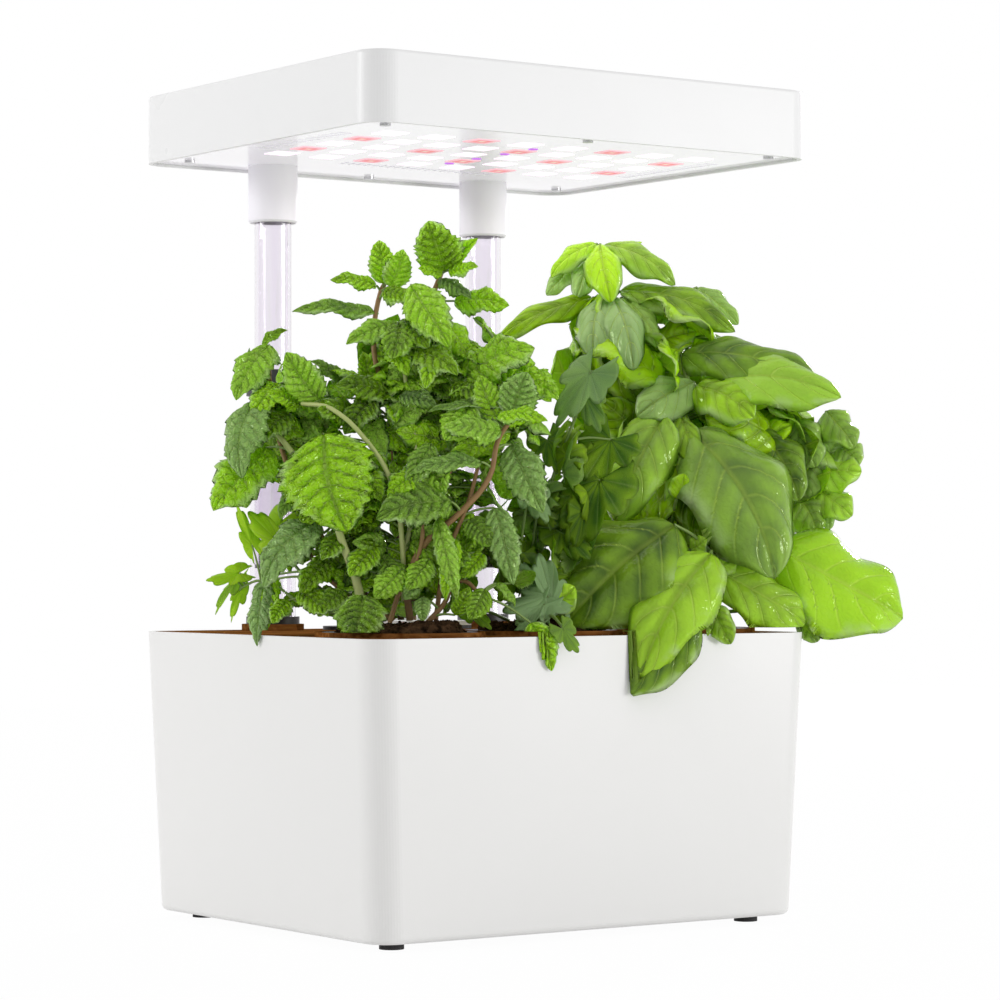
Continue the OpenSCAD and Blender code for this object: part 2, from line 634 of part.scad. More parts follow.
module light_panel() color([0.96, 0.96, 0.97]) {
    fit = 0.4;
    difference() {
        slab(body_w - 2 * (hood_wall + fit), body_d - 2 * (hood_wall + fit), corner_r - hood_wall - fit,
            panel_z, panel_t);
        each_led(false) cube([lens_w + 0.3, lens_w + 0.3, 4 * hood_z], center = true);
        each_led(true) cube([lens_w + 0.3, lens_w + 0.3, 4 * hood_z], center = true);
        each_violet() cylinder(h = 2 * hood_z, d = violet_d + 0.3);
        each_panel_screw() cylinder(h = 2 * hood_z, d = screw_d);
        each_tube() cylinder(h = 2 * hood_z, d = stud_d + 2 * seat_gap);
        vents() {
            cube([vent_len, vent_w, 4 * hood_z], center = true);
            cube([vent_w, vent_len, 4 * hood_z], center = true);
        }
    }
    for (x = [-1, 0, 1], y = [-2.5, 2.5]) translate([x * (led_w / 2 + 11), led_y(2) + y * (led_pitch_y - 1.5),
        panel_top_z - 0.5]) cylinder(h = led_z - panel_top_z + 0.5, d = 4);
}
module panel_screws() color([0.55, 0.55, 0.57]) each_panel_screw() translate([0, 0, panel_z - 1.3]) {
    cylinder(h = 1.3, d = 5.5);
    cylinder(h = panel_screw_l, d = pilot_d - 0.1);
}
module lens() {
    square_lens_low = panel_z - 0.3;
    translate([-lens_w / 2, -lens_w / 2, square_lens_low])
        cube([lens_w, lens_w, panel_top_z + lens_flange_t - square_lens_low]);
    translate([-lens_w / 2 - 1, -lens_w / 2 - 1, panel_top_z]) cube([lens_w + 2, lens_w + 2, lens_flange_t]);
}
module white_lenses() color([1, 0.95, 1]) each_led(false) lens();
module red_lenses() color([1, 0.6, 0.65]) each_led(true) lens();
module violet_lenses() color([0.6, 0.4, 1]) each_violet() translate([0, 0, panel_z - 0.3])
    cylinder(h = led_z - panel_z + 0.3, d = violet_d);
module led_board() color([0.9, 0.9, 0.9]) translate([0, led_y(2), 0])
    slab(led_w + 28, 5 * led_pitch_y + 6, 3, led_z, board_t);
module led_chips() color([1, 0.9, 0.6]) {
    each_led(false) translate([-1.75, -1.75, led_z - chip_h]) cube([3.5, 3.5, chip_h]);
    each_led(true) translate([-1.75, -1.75, led_z - chip_h]) cube([3.5, 3.5, chip_h]);
}
module heat_spreader() color([0.75, 0.76, 0.78]) translate([0, led_y(2), 0])
    slab(led_w, 4.4 * led_pitch_y, 3, led_z + board_t, spreader_t);

// ---- Collars that hold the upper tubes, and the bridge and nuts above the panel ----
module tube_collars() color([0.92, 0.92, 0.92]) each_tube() difference() {
    union() {
        translate([0, 0, collar_low_z]) rotate_extrude() polygon([
            [0, 0], [collar_d / 2 - 1, 0], [collar_d / 2, 1], [collar_d / 2, collar_h], [0, collar_h]]);
        translate([0, 0, panel_z]) cylinder(h = panel_t + bridge_t + nut_h + 2, d = stud_d);
    }
    translate([0, 0, collar_low_z - 1]) cylinder(h = collar_seat + 1, d = lower_bore_d);
}
module tube_bridge() color([0.7, 0.71, 0.73]) difference() {
    translate([0, tube_y, 0]) slab(2 * tube_x + nut_d + 10, nut_d, 4, panel_top_z, bridge_t);
    translate([0, body_d / 2 - mid_screw_in, 0]) cylinder(h = 2 * hood_z, d = post_d + 2);
    each_tube() cylinder(h = 2 * hood_z, d = stud_d + 2 * seat_gap);
}
module collar_nuts() color([0.3, 0.3, 0.31]) each_tube() translate([0, 0, panel_top_z + bridge_t])
    difference() {
        cylinder(h = nut_h, d = nut_d, $fn = 6);
        translate([0, 0, -1]) cylinder(h = nut_h + 2, d = stud_d + 0.1);
    }

// ---- Driver board, inlet, button ----
module driver_board() color([0.1, 0.35, 0.2]) translate([0, driver_y, driver_z]) difference() {
    translate([-driver_w / 2, -driver_d / 2, 0]) cube([driver_w, driver_d, board_t]);
    each_corner(driver_hole_x, driver_hole_y) translate([0, 0, -1]) cylinder(h = 4, d = 2);
}
module driver_parts() color([0.15, 0.15, 0.17]) translate([0, driver_y, driver_z + board_t]) {
    translate([-24, 6, 0]) cylinder(h = 9, d = 8);
    translate([-24, -6, 0]) cylinder(h = 9, d = 8);
    translate([14, -4, 0]) cube([12, 12, 6]);
    translate([-15, -6, 0]) cube([7, 9, 1.8]);
}
module dc_jack() color([0.05, 0.05, 0.05]) translate([jack_x, 0, 0]) difference() {
    back_y = body_d / 2 - hood_wall;
    union() {
        translate([-4.5, back_y - 18, driver_z + board_t]) cube([9, 18, 11]);
        translate([0, back_y + hood_wall - 0.2, jack_z]) rotate([90, 0, 0])
            cylinder(h = hood_wall, d = jack_nose_d);
    }
    translate([0, body_d / 2 + 1, jack_z]) rotate([90, 0, 0]) cylinder(h = 12, d = 5.5);
}
module dc_pin() color([0.8, 0.8, 0.8]) translate([jack_x, body_d / 2 - 2, jack_z]) rotate([90, 0, 0])
    cylinder(h = 9, d = 2);
module led_leads() color([0.7, 0.1, 0.1]) for (x = [-8, 8]) {
    from = [x, led_y(4) + 10, led_z + board_t];
    bend = led_z + board_t + 4;
    to_y = driver_y - driver_d / 2 + 4;
    translate(from) cylinder(h = 4, d = lead_d);
    translate([x, from[1], bend]) sphere(d = lead_d);
    translate([x, from[1], bend]) rotate([-90, 0, 0]) cylinder(h = to_y - from[1], d = lead_d);
    translate([x, to_y, bend]) sphere(d = lead_d);
    translate([x, to_y, bend]) cylinder(h = driver_z - bend, d = lead_d);
}
module touch_switch() color([0.2, 0.2, 0.2]) translate([0, button_y, driver_z + board_t]) difference() {
    translate([-switch_w / 2, -switch_w / 2, 0]) cube([switch_w, switch_w, switch_h]);
    translate([0, 0, 1]) cylinder(h = switch_h, d = 3 + 2 * running);
}
module switch_plunger() color([0.9, 0.9, 0.85]) translate([0, button_y, driver_z + board_t + 2])
    cylinder(h = switch_h - 2 + 1, d = 3);
module power_button() color([0.88, 0.88, 0.88]) translate([0, button_y, 0]) {
    low = switch_top_z + 1;
    flange_z = hood_top_z - hood_top_t - 0.2 - button_flange_h;
    translate([0, 0, flange_z]) cylinder(h = hood_top_z + 1.2 - flange_z, d = button_d);
    translate([0, 0, flange_z]) cylinder(h = button_flange_h, d = button_d + 3);
    translate([0, 0, low]) cylinder(h = flange_z - low, d = 4);
}

planter_shell();
rubber_feet();
water_tank();
bamboo_deck();
tube_sockets();
socket_screws();
lower_tubes();
lock_rings();
fill_bezel();
hinge_pin();
fill_flap();
float_cage();
level_float();
float_tip();
net_pot_left();
net_pot_centre();
net_pot_right();
medium_left();
medium_centre();
medium_right();
wick_left();
wick_centre();
wick_right();
mint_plant();
side_cilantro_plant();
cilantro_plant();
basil_plant();
basil_rim_leaves();
hood_shell();
light_panel();
panel_screws();
led_board();
led_chips();
white_lenses();
red_lenses();
violet_lenses();
heat_spreader();
tube_bridge();
tube_collars();
collar_nuts();
upper_tubes();
tube_end_plugs();
driver_board();
driver_screws();
driver_parts();
dc_jack();
dc_pin();
led_leads();
touch_switch();
switch_plunger();
power_button();
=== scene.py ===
import math
import random
from functools import partial
import bpy
import numpy as np
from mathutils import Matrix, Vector


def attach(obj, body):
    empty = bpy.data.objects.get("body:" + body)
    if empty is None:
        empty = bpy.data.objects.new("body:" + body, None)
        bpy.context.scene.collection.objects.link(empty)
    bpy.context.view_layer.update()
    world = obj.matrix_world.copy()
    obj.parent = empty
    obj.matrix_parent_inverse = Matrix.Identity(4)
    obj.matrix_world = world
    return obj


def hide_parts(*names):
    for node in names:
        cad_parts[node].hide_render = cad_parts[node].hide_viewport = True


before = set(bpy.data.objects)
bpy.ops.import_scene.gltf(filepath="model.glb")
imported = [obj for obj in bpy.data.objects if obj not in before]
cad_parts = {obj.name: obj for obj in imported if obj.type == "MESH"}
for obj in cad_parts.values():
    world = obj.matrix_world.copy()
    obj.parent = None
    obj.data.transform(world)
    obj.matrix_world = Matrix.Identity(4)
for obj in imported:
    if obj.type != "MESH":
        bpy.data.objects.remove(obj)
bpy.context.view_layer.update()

# Studio: a level camera with a long lens, turned 35 degrees to the planter, on a pale floor. Three
# soft lamps and an even pale surround light it, and white is seen behind it. A faint light under
# the panel is the garden's own.
EYE = (-1.03596, -1.49611, 0.19456)
VIEW_TURN = math.radians(35.15)
LENS, SENSOR, LENS_SHIFT = 122.05, 36.0, 0.05608
FLOOR_REACH = 2.4
FLOOR_SEEN_WHITE = 0.975

lens = bpy.data.cameras.new("camera")
lens.lens = LENS
lens.sensor_width = SENSOR
lens.shift_y = LENS_SHIFT
lens.clip_end = 30.0
camera = bpy.data.objects.new("camera", lens)
camera.location = EYE
camera.rotation_euler = (math.radians(90), 0, -VIEW_TURN)
bpy.context.scene.collection.objects.link(camera)
bpy.context.scene.camera = camera
bpy.context.scene.view_settings.view_transform = "Standard"


def fill(tree, node, values):
    """Sets plain values on a node's sockets and links other nodes' outputs to them. A colour is
    written as three numbers."""
    for name, value in values.items():
        socket = node.inputs[name]
        if isinstance(value, bpy.types.NodeSocket):
            tree.links.new(value, socket)
        elif socket.type == "RGBA":
            socket.default_value = (*value, 1)
        else:
            socket.default_value = value


def add(tree, kind, values=None, out=0, **settings):
    """New node of a kind with its settings made and its sockets filled; gives back one output."""
    node = tree.nodes.new(kind)
    for setting, value in settings.items():
        setattr(node, setting, value)
    fill(tree, node, values or {})
    return node.outputs[out]


def maths(tree, operation, *values):
    """Result of one Math node on numbers or other nodes' outputs."""
    return add(tree, "ShaderNodeMath", dict(enumerate(values)), operation=operation)


def new_material(name):
    """A material, its node tree and its Principled surface."""
    material = bpy.data.materials.new(name)
    material.use_nodes = True
    return material, material.node_tree, material.node_tree.nodes["Principled BSDF"]


def seen_rays(tree):
    """1 for rays from the camera, off gloss and through clear plastic, 0 for the light itself."""
    rays = tree.nodes.new("ShaderNodeLightPath").outputs
    glossy = maths(tree, "MAXIMUM", rays["Is Camera Ray"], rays["Is Glossy Ray"])
    return maths(tree, "MAXIMUM", glossy, rays["Is Transmission Ray"])


surround = bpy.data.worlds.new("surround")
surround.use_nodes = True
tree = surround.node_tree
fill(tree, tree.nodes["Background"], {"Color": (1.0, 1.0, 1.0), "Strength": 0.70})
lit_or_white = {"Fac": seen_rays(tree), 1: tree.nodes["Background"].outputs[0],
                2: add(tree, "ShaderNodeBackground", {"Color": (1.0, 1.0, 1.0)})}
fill(tree, tree.nodes["World Output"], {"Surface": add(tree, "ShaderNodeMixShader", lit_or_white)})
bpy.context.scene.world = surround

floor_paper, tree, paper = new_material("floor_paper")
fill(tree, paper, {"Base Color": (0.92, 0.92, 0.92), "Roughness": 0.9})
paper_or_white = {"Fac": maths(tree, "MULTIPLY", seen_rays(tree), FLOOR_SEEN_WHITE),
                  1: paper.outputs[0], 2: add(tree, "ShaderNodeEmission")}
fill(tree, tree.nodes["Material Output"], {"Surface": add(tree, "ShaderNodeMixShader", paper_or_white)})
floor_mesh = bpy.data.meshes.new("floor")
corners = [(x * FLOOR_REACH, y * FLOOR_REACH, 0) for x, y in ((-1, -1), (1, -1), (1, 1), (-1, 1))]
floor_mesh.from_pydata(corners, [], [(0, 1, 2, 3)])
floor_mesh.materials.append(floor_paper)
floor = bpy.data.objects.new("floor", floor_mesh)
bpy.context.scene.collection.objects.link(floor)


def area_lamp(name, place, aim, size, watts):
    """Square soft lamp that faces a point; places and sizes in metres."""
    data = bpy.data.lights.new(name, "AREA")
    data.energy = watts
    data.size = size
    lamp = bpy.data.objects.new(name, data)
    lamp.location = place
    lamp.rotation_euler = (Vector(aim) - Vector(place)).to_track_quat("-Z", "Y").to_euler()
    bpy.context.scene.collection.objects.link(lamp)
    return data


area_lamp("soft_lamp_right", (3.60, -4.15, 0.30), (0.0, 0.0, 0.2), 1.4, 112.0)
area_lamp("soft_lamp_left", (-1.90, 0.90, 0.80), (0.0, 0.0, 0.2), 0.5, 12.0)
area_lamp("soft_lamp_back", (3.00, 1.90, 1.10), (0.0, 0.0, 0.25), 0.25, 38.0)
grow_light = area_lamp("grow_light", (0.0, -0.02, 0.392), (0.0, -0.02, 0.0), 0.24, 0.10)
grow_light.shape = "RECTANGLE"
grow_light.size_y = 0.14
grow_light.color = (1.0, 0.96, 0.99)

# Planter shell: one moulding of warm white ABS with a fine spark finish. Its walls are 3 mm thick
# and turned in at the shelf that carries the tank.


def own_place(tree):
    """The piece's own coordinates, which its pattern follows."""
    return add(tree, "ShaderNodeTexCoord", out="Object")


def stretched(tree, place, scale):
    """Coordinates scaled by axis, for a pattern drawn out along the smallest."""
    return add(tree, "ShaderNodeMapping", {"Vector": place, "Scale": scale})


def noise(tree, place, scale, detail=2.0):
    """Cloudy pattern between 0 and 1."""
    return add(tree, "ShaderNodeTexNoise", {"Vector": place, "Scale": scale, "Detail": detail})


def mix(tree, first, second, share, blend="MIX"):
    """Colour between two, by a share."""
    return add(tree, "ShaderNodeMix", {"A": first, "B": second, "Factor": share}, "Result",
               data_type="RGBA", blend_type=blend)


def ranged(tree, value, start, end, low, high, kind="LINEAR"):
    """A value that runs from start to end, made to run from low to high."""
    return add(tree, "ShaderNodeMapRange", {"Value": value, "From Min": start, "From Max": end,
                                            "To Min": low, "To Max": high}, "Result",
               interpolation_type=kind)


def bumped(tree, height, strength, distance):
    """Normals of a relief this deep, in metres."""
    return add(tree, "ShaderNodeBump", {"Height": height, "Strength": strength, "Distance": distance})


def ramp(tree, share, *stops):
    """Colour by a share, through stops (position, colour) in rising order."""
    node = tree.nodes.new("ShaderNodeValToRGB")
    marks = node.color_ramp.elements
    for _ in stops[2:]:
        marks.new(0.5)
    for mark, (position, colour) in zip(marks, stops):
        mark.position = position
        mark.color = (*colour, 1)
    fill(tree, node, {"Fac": share})
    return node.outputs["Color"]


def plastic(name, colour, shade, roughness, grain=1400.0, depth=0.03, drift=9.0, coat=0.0, spec=0.5):
    """Moulded plastic: colour that drifts a little, a fine mould grain and uneven gloss."""
    material, tree, surface = new_material(name)
    place = own_place(tree)
    cloud = noise(tree, place, drift, 4.0)
    dull, bright = min(1.0, roughness * 1.2), max(0.02, roughness * 0.85)
    fill(tree, surface, {
        "Base Color": mix(tree, colour, shade, cloud),
        "Coat Weight": coat,
        "Specular IOR Level": spec,
        "Normal": bumped(tree, noise(tree, place, grain), depth * 4, 0.0002),
        "Roughness": ranged(tree, cloud, 0.3, 0.7, bright, dull),
    })
    return material


def dress(material, *names):
    """Gives CAD nodes their finish."""
    for name in names:
        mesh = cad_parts[name].data
        mesh.materials.clear()
        mesh.materials.append(material)


white_shell = plastic("white_shell", (0.825, 0.82, 0.81), (0.81, 0.805, 0.795), 0.33, spec=0.3)
dress(white_shell, "planter_shell")

# Feet: four pads of black rubber under the corners of the planter, each moulded with a peg that
# is pressed into a hole in the bottom of the shell.
black_rubber = plastic("black_rubber", (0.018, 0.018, 0.019), (0.035, 0.034, 0.034),
                       0.75, grain=700, depth=0.12)
dress(black_rubber, "rubber_feet")

# Water tank: a tub of dark grey polypropylene, formed thin and in one piece. It hangs by its
# flange on the shelf of the shell.
tank_grey = plastic("tank_grey", (0.07, 0.072, 0.076), (0.095, 0.096, 0.1), 0.5, grain=900, depth=0.06)
dress(tank_grey, "water_tank")

# Deck: a board of laminated bamboo, cut and routed, with a turned ring glued round each tube and a
# low one round each pot's opening. Strips of slightly different brown lie side by side, with short
# dark fibres and a satin oil.
bamboo, tree, oiled = new_material("bamboo")
fibre = noise(tree, stretched(tree, own_place(tree), (14.0, 420.0, 420.0)), 1.0, 6.0)
strip_place = stretched(tree, own_place(tree), (5.0, 55.0, 8.0))
strips = add(tree, "ShaderNodeTexVoronoi", {"Vector": strip_place, "Scale": 1.0, "Randomness": 0.35},
             "Color")
strip_shade = add(tree, "ShaderNodeSeparateColor", {"Color": strips}, "Red")
fibre_tone = ramp(tree, fibre, (0.32, (0.16, 0.052, 0.010)), (0.7, (0.42, 0.18, 0.05)))
fill(tree, oiled, {
    "Base Color": mix(tree, fibre_tone, strip_shade, 0.5, "MULTIPLY"),
    "Specular IOR Level": 0.0,
    "Normal": bumped(tree, fibre, 0.35, 0.0003),
    "Roughness": ranged(tree, fibre, 0.0, 1.0, 0.55, 0.75),
})
dress(bamboo, "bamboo_deck")

# Black hardware of the deck: sockets, lock rings, filling bezel, float cage and net pots, all
# moulded in black nylon with a matt grain; the sockets are held by zinc-plated screws.
black_plastic = plastic("black_plastic", (0.02, 0.02, 0.022), (0.034, 0.034, 0.037),
                        0.45, grain=1100, depth=0.08)
dress(black_plastic, "tube_sockets", "lock_rings", "fill_bezel", "float_cage",
      "net_pot_left", "net_pot_centre", "net_pot_right")


def metal(name, colour, roughness, streak):
    """Turned or brushed metal: fine streaks round the part and uneven roughness."""
    material, tree, surface = new_material(name)
    round_part = stretched(tree, own_place(tree), (streak, streak, streak * 12))
    lines = noise(tree, round_part, 1.0, 5.0)
    fill(tree, surface, {
        "Metallic": 1.0,
        "Base Color": mix(tree, colour, [part * 0.78 for part in colour], lines),
        "Roughness": ranged(tree, lines, 0.0, 1.0, roughness * 0.7, roughness * 1.4),
    })
    return material


steel = metal("steel", (0.62, 0.62, 0.63), 0.3, 260.0)
dress(steel, "socket_screws", "hinge_pin", "collar_nuts", "driver_screws")

# Posts: extruded clear acrylic tube, the upper one sliding in the lower. The polished walls have
# faint lines along them from the drawing, and a touch of lilac.
clear_tube, tree, acrylic = new_material("clear_tube")
draw_lines = noise(tree, stretched(tree, own_place(tree), (160.0, 160.0, 2.0)), 1.0)
fill(tree, acrylic, {
    "Transmission Weight": 1.0,
    "IOR": 1.4,
    "Base Color": mix(tree, (0.95, 0.945, 0.955), (0.86, 0.81, 0.89), draw_lines),
    "Roughness": ranged(tree, draw_lines, 0.0, 1.0, 0.0, 0.02),
})
dress(clear_tube, "lower_tubes", "upper_tubes")

# Filling flap: a lid of white plastic over the filling opening, moulded with a knuckle that turns
# on a steel pin between the ears of the bezel.
flap_white = plastic("flap_white", (0.80, 0.80, 0.785), (0.77, 0.77, 0.755), 0.36)
dress(flap_white, "fill_flap")

# Level float: a body of orange foam on a rod. The rod's red tip stands higher above the deck as
# the tank fills.
float_orange = plastic("float_orange", (0.8, 0.26, 0.05), (0.7, 0.2, 0.035), 0.6, grain=500, depth=0.15)
dress(float_orange, "level_float")
float_red = plastic("float_red", (0.6, 0.025, 0.02), (0.48, 0.02, 0.018), 0.3)
dress(float_red, "float_tip")

# Wicks: strips cut from pale needled felt, one to each pot. They hang from the bottom of the
# plug into the water.
wick_felt = plastic("wick_felt", (0.62, 0.6, 0.55), (0.46, 0.44, 0.4),
                    0.95, grain=380, depth=0.5, drift=160.0)
dress(wick_felt, "wick_left", "wick_centre", "wick_right")

# Growing medium: a plug of dark, damp, crumbly fibre that fills each net pot and is heaped a
# little in the middle. Loose crumbs lie on it.
POT_X = {"left": -0.088, "centre": 0.0, "right": 0.088}
POT_Y = -0.062
PLUG_FOOT, PLUG_LIP, PLUG_PEAK = 0.0885, 0.1555, 0.1614
PLUG_RADIUS = 0.0333
PLUG_PROFILE = ((0.0268, PLUG_FOOT), (0.0335, 0.152), (PLUG_RADIUS, PLUG_LIP))
HEAP_RISE, LUMP_RISE, MOST_RISE = 0.004, 0.0016, 0.0062
CRUMB_SIZE = 0.0011
CRUMBS_PER_SQUARE_METRE = 150000.0

soil, tree, damp = new_material("growing_medium")
clods = noise(tree, own_place(tree), 260.0, 6.0)
fill(tree, damp, {
    "Base Color": ramp(tree, clods, (0.35, (0.012, 0.007, 0.004)), (0.75, (0.10, 0.055, 0.028))),
    "Roughness": 0.9,
    "Specular IOR Level": 0.0,
    "Normal": bumped(tree, clods, 0.9, 0.001),
})


def node_group(name, sizes):
    """Geometry tree with named inputs beside the geometry: gives back the tree, the identifiers of
    these inputs, the inputs' outputs in the tree and its end."""
    tree = bpy.data.node_groups.new(name, "GeometryNodeTree")
    tree.interface.new_socket("Geometry", in_out="INPUT", socket_type="NodeSocketGeometry")
    ids = {}
    for label, kind in sizes.items():
        socket = tree.interface.new_socket(label, in_out="INPUT", socket_type="NodeSocket" + kind)
        ids[label] = socket.identifier
    tree.interface.new_socket("Geometry", in_out="OUTPUT", socket_type="NodeSocketGeometry")
    start, end = tree.nodes.new("NodeGroupInput"), tree.nodes.new("NodeGroupOutput")
    return tree, ids, start.outputs, end


def crumb_tree():
    """Crumbs scattered on the top of the plug, each a small lumpy stone of 20 faces."""
    tree, ids, given, end = node_group("crumbs", {
        "Crumb size": "Float", "Crumbs per square metre": "Float", "Seed": "Int", "Finish": "Material"})
    seed = given["Seed"]
    upward = add(tree, "ShaderNodeSeparateXYZ", {0: add(tree, "GeometryNodeInputNormal")}, "Z")
    on_top = add(tree, "FunctionNodeCompare", {"A": upward, "B": 0.4}, operation="GREATER_THAN")
    spots = add(tree, "GeometryNodeDistributePointsOnFaces", {
        "Mesh": given["Geometry"], "Selection": on_top,
        "Density": given["Crumbs per square metre"], "Seed": seed})
    stone = add(tree, "GeometryNodeMeshIcoSphere", {"Subdivisions": 1, "Radius": given["Crumb size"]})
    turn = add(tree, "FunctionNodeRandomValue", {"Max": (6.28, 6.28, 6.28), "Seed": seed}, "Value",
               data_type="FLOAT_VECTOR")
    size = add(tree, "FunctionNodeRandomValue",
               {"Min": (0.4, 0.4, 0.35), "Max": (1.5, 1.2, 0.9), "Seed": seed}, "Value",
               data_type="FLOAT_VECTOR")
    laid = add(tree, "GeometryNodeInstanceOnPoints",
               {"Points": spots, "Instance": stone, "Rotation": turn, "Scale": size})
    crumbs = add(tree, "GeometryNodeRealizeInstances", {0: laid})
    both = tree.nodes.new("GeometryNodeJoinGeometry")
    for shape in (given["Geometry"], crumbs):
        tree.links.new(shape, both.inputs[0])
    painted = {"Geometry": both.outputs[0], "Material": given["Finish"]}
    fill(tree, end, {0: add(tree, "GeometryNodeSetMaterial", painted)})
    return tree, ids


def plug_shape(x, draw, rings=15, spokes=40):
    """Points and faces of one plug: flared sides, a lumpy heap on top, closed at both ends."""
    lumps = [(draw.uniform(-0.03, 0.03), draw.uniform(-0.03, 0.03), draw.uniform(0.004, 0.009))
             for _ in range(26)]
    turns = [2 * math.pi * k / spokes for k in range(spokes)]
    points = [(x + radius * math.cos(turn), POT_Y + radius * math.sin(turn), z)
              for radius, z in PLUG_PROFILE for turn in turns]
    for ring in range(1, rings):
        radius = PLUG_RADIUS * (1 - ring / rings)
        for turn in turns:
            px, py = radius * math.cos(turn), radius * math.sin(turn)
            lump = sum(LUMP_RISE * math.exp(-((px - a) ** 2 + (py - b) ** 2) / r ** 2) for a, b, r in lumps)
            rise = min(MOST_RISE, HEAP_RISE * (ring / rings) ** 0.5 + lump)
            points.append((x + px, POT_Y + py, PLUG_LIP + rise))
    bands = len(PLUG_PROFILE) + rings - 2
    faces = []
    for band in range(bands):
        for k in range(spokes):
            a, b = band * spokes + k, band * spokes + (k + 1) % spokes
            faces.append((a, b, b + spokes, a + spokes))
    points += [(x, POT_Y, PLUG_FOOT), (x, POT_Y, PLUG_PEAK)]
    last = bands * spokes
    for k in range(spokes):
        faces.append(((k + 1) % spokes, k, len(points) - 2))
        faces.append((last + k, last + (k + 1) % spokes, len(points) - 1))
    return points, faces


def grown(source, group, settings, name):
    """A piece's nodes evaluated into a plain mesh object, which takes the place of its source."""
    bpy.context.scene.collection.objects.link(source)
    modifier = source.modifiers.new("nodes", "NODES")
    modifier.node_group = group
    for identifier, value in settings.items():
        modifier[identifier] = value
    graph = bpy.context.evaluated_depsgraph_get()
    mesh = bpy.data.meshes.new_from_object(source.evaluated_get(graph))
    bpy.data.objects.remove(source)
    mesh.name = name
    piece = bpy.data.objects.new(name, mesh)
    bpy.context.scene.collection.objects.link(piece)
    return piece


crumbs, crumb_ids = crumb_tree()
for seed, (side, x) in enumerate(POT_X.items()):
    points, faces = plug_shape(x, random.Random(40 + seed))
    mesh = bpy.data.meshes.new(f"plug_{side}")
    mesh.from_pydata(points, [], faces)
    medium = grown(bpy.data.objects.new(f"plug_{side}", mesh), crumbs, {
        crumb_ids["Crumb size"]: CRUMB_SIZE,
        crumb_ids["Crumbs per square metre"]: CRUMBS_PER_SQUARE_METRE,
        crumb_ids["Seed"]: seed,
        crumb_ids["Finish"]: soil,
    }, f"soil_{side}")
    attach(medium, f"{side}_pod")
    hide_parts(f"medium_{side}")

# Mint, in the left pod: leaves in pairs on woody stems, each leaf toothed, with puffed panels
# between sunken side veins. Every leaf is a thin closed shell on its own stalk. Sizes and places
# of leaves and stems are in millimetres.
# a leaf's form: outline powers at stalk and tip, side veins, their forward lean, puff, teeth,
# depth of the teeth, wave
MINT_FORM = (0.50, 0.78, 7, 0.24, 0.105, 9, 0.17, 0.13)
LEAF_THICKNESS = 0.34
STALK_HALF_WIDTH = 0.25
SOIL_TOP = 162.0
DECK_CLEARANCE_Z = 156.8
KEPT_BELOW = 0.02
DECK_HALF_X, DECK_HALF_Y = 141.0, 117.0
PLANT_ROOM = ((-173.0, 199.0), (-140.0, 75.0), (60.0, 366.5))
DEPTHS_FROM_Y = -22.0
FRAME_WIDTH = 1000
FRAME_MIDDLE = FRAME_WIDTH / 2
HORIZON = FRAME_WIDTH * (0.5 + LENS_SHIFT)
LENS_REACH = FRAME_WIDTH * LENS / SENSOR
EYE_MM = np.array(EYE) * 1000
TO_RIGHT = np.array((math.cos(VIEW_TURN), -math.sin(VIEW_TURN), 0.0))
TO_VIEWER = np.array((-math.sin(VIEW_TURN), -math.cos(VIEW_TURN), 0.0))
UPWARD = np.array((0.0, 0.0, 1.0))


def pot_top(side):
    """Middle of a pot's soil in the frame, in millimetres."""
    return np.array((POT_X[side] * 1000, POT_Y * 1000, SOIL_TOP))


def at_pot(side, right, near, up):
    """Millimetres right of a pot's middle, toward the viewer and above its soil, in the frame."""
    return pot_top(side) + TO_RIGHT * right + TO_VIEWER * near + UPWARD * up


def depth_at(side, near):
    """Distance before the camera of a place this much nearer than where a plant's depths start."""
    return TO_VIEWER.dot(EYE_MM - np.array((POT_X[side] * 1000, DEPTHS_FROM_Y, 0.0))) - near


def seen_at(side, x, y, near):
    """Place of what the camera sees at x, y of a view 1000 wide and high, y downward, and this many
    millimetres nearer than its plant's depths start; rounded to whole millimetres from the pot."""
    depth = depth_at(side, near)
    aside = TO_RIGHT * (x - FRAME_MIDDLE) + UPWARD * (HORIZON - y)
    from_pot = EYE_MM - TO_VIEWER * depth + aside * depth / LENS_REACH - pot_top(side)
    return at_pot(side, *(round(float(from_pot.dot(way))) for way in (TO_RIGHT, TO_VIEWER, UPWARD)))


def facing(right, up):
    """Direction of a leaf's upper face that leans this much to the right and upward."""
    return TO_RIGHT * right + TO_VIEWER * math.sqrt(max(0.05, 1 - right ** 2 - up ** 2)) + UPWARD * up


def blade_axes(base, tip, face):
    """A blade's length, and its ways along, aside and out of its face, square to each other."""
    run = tip - base
    length = np.linalg.norm(run)
    run = run / length
    face = face - run * face.dot(run)
    face = face / np.linalg.norm(face)
    return length, run, np.cross(run, face), face


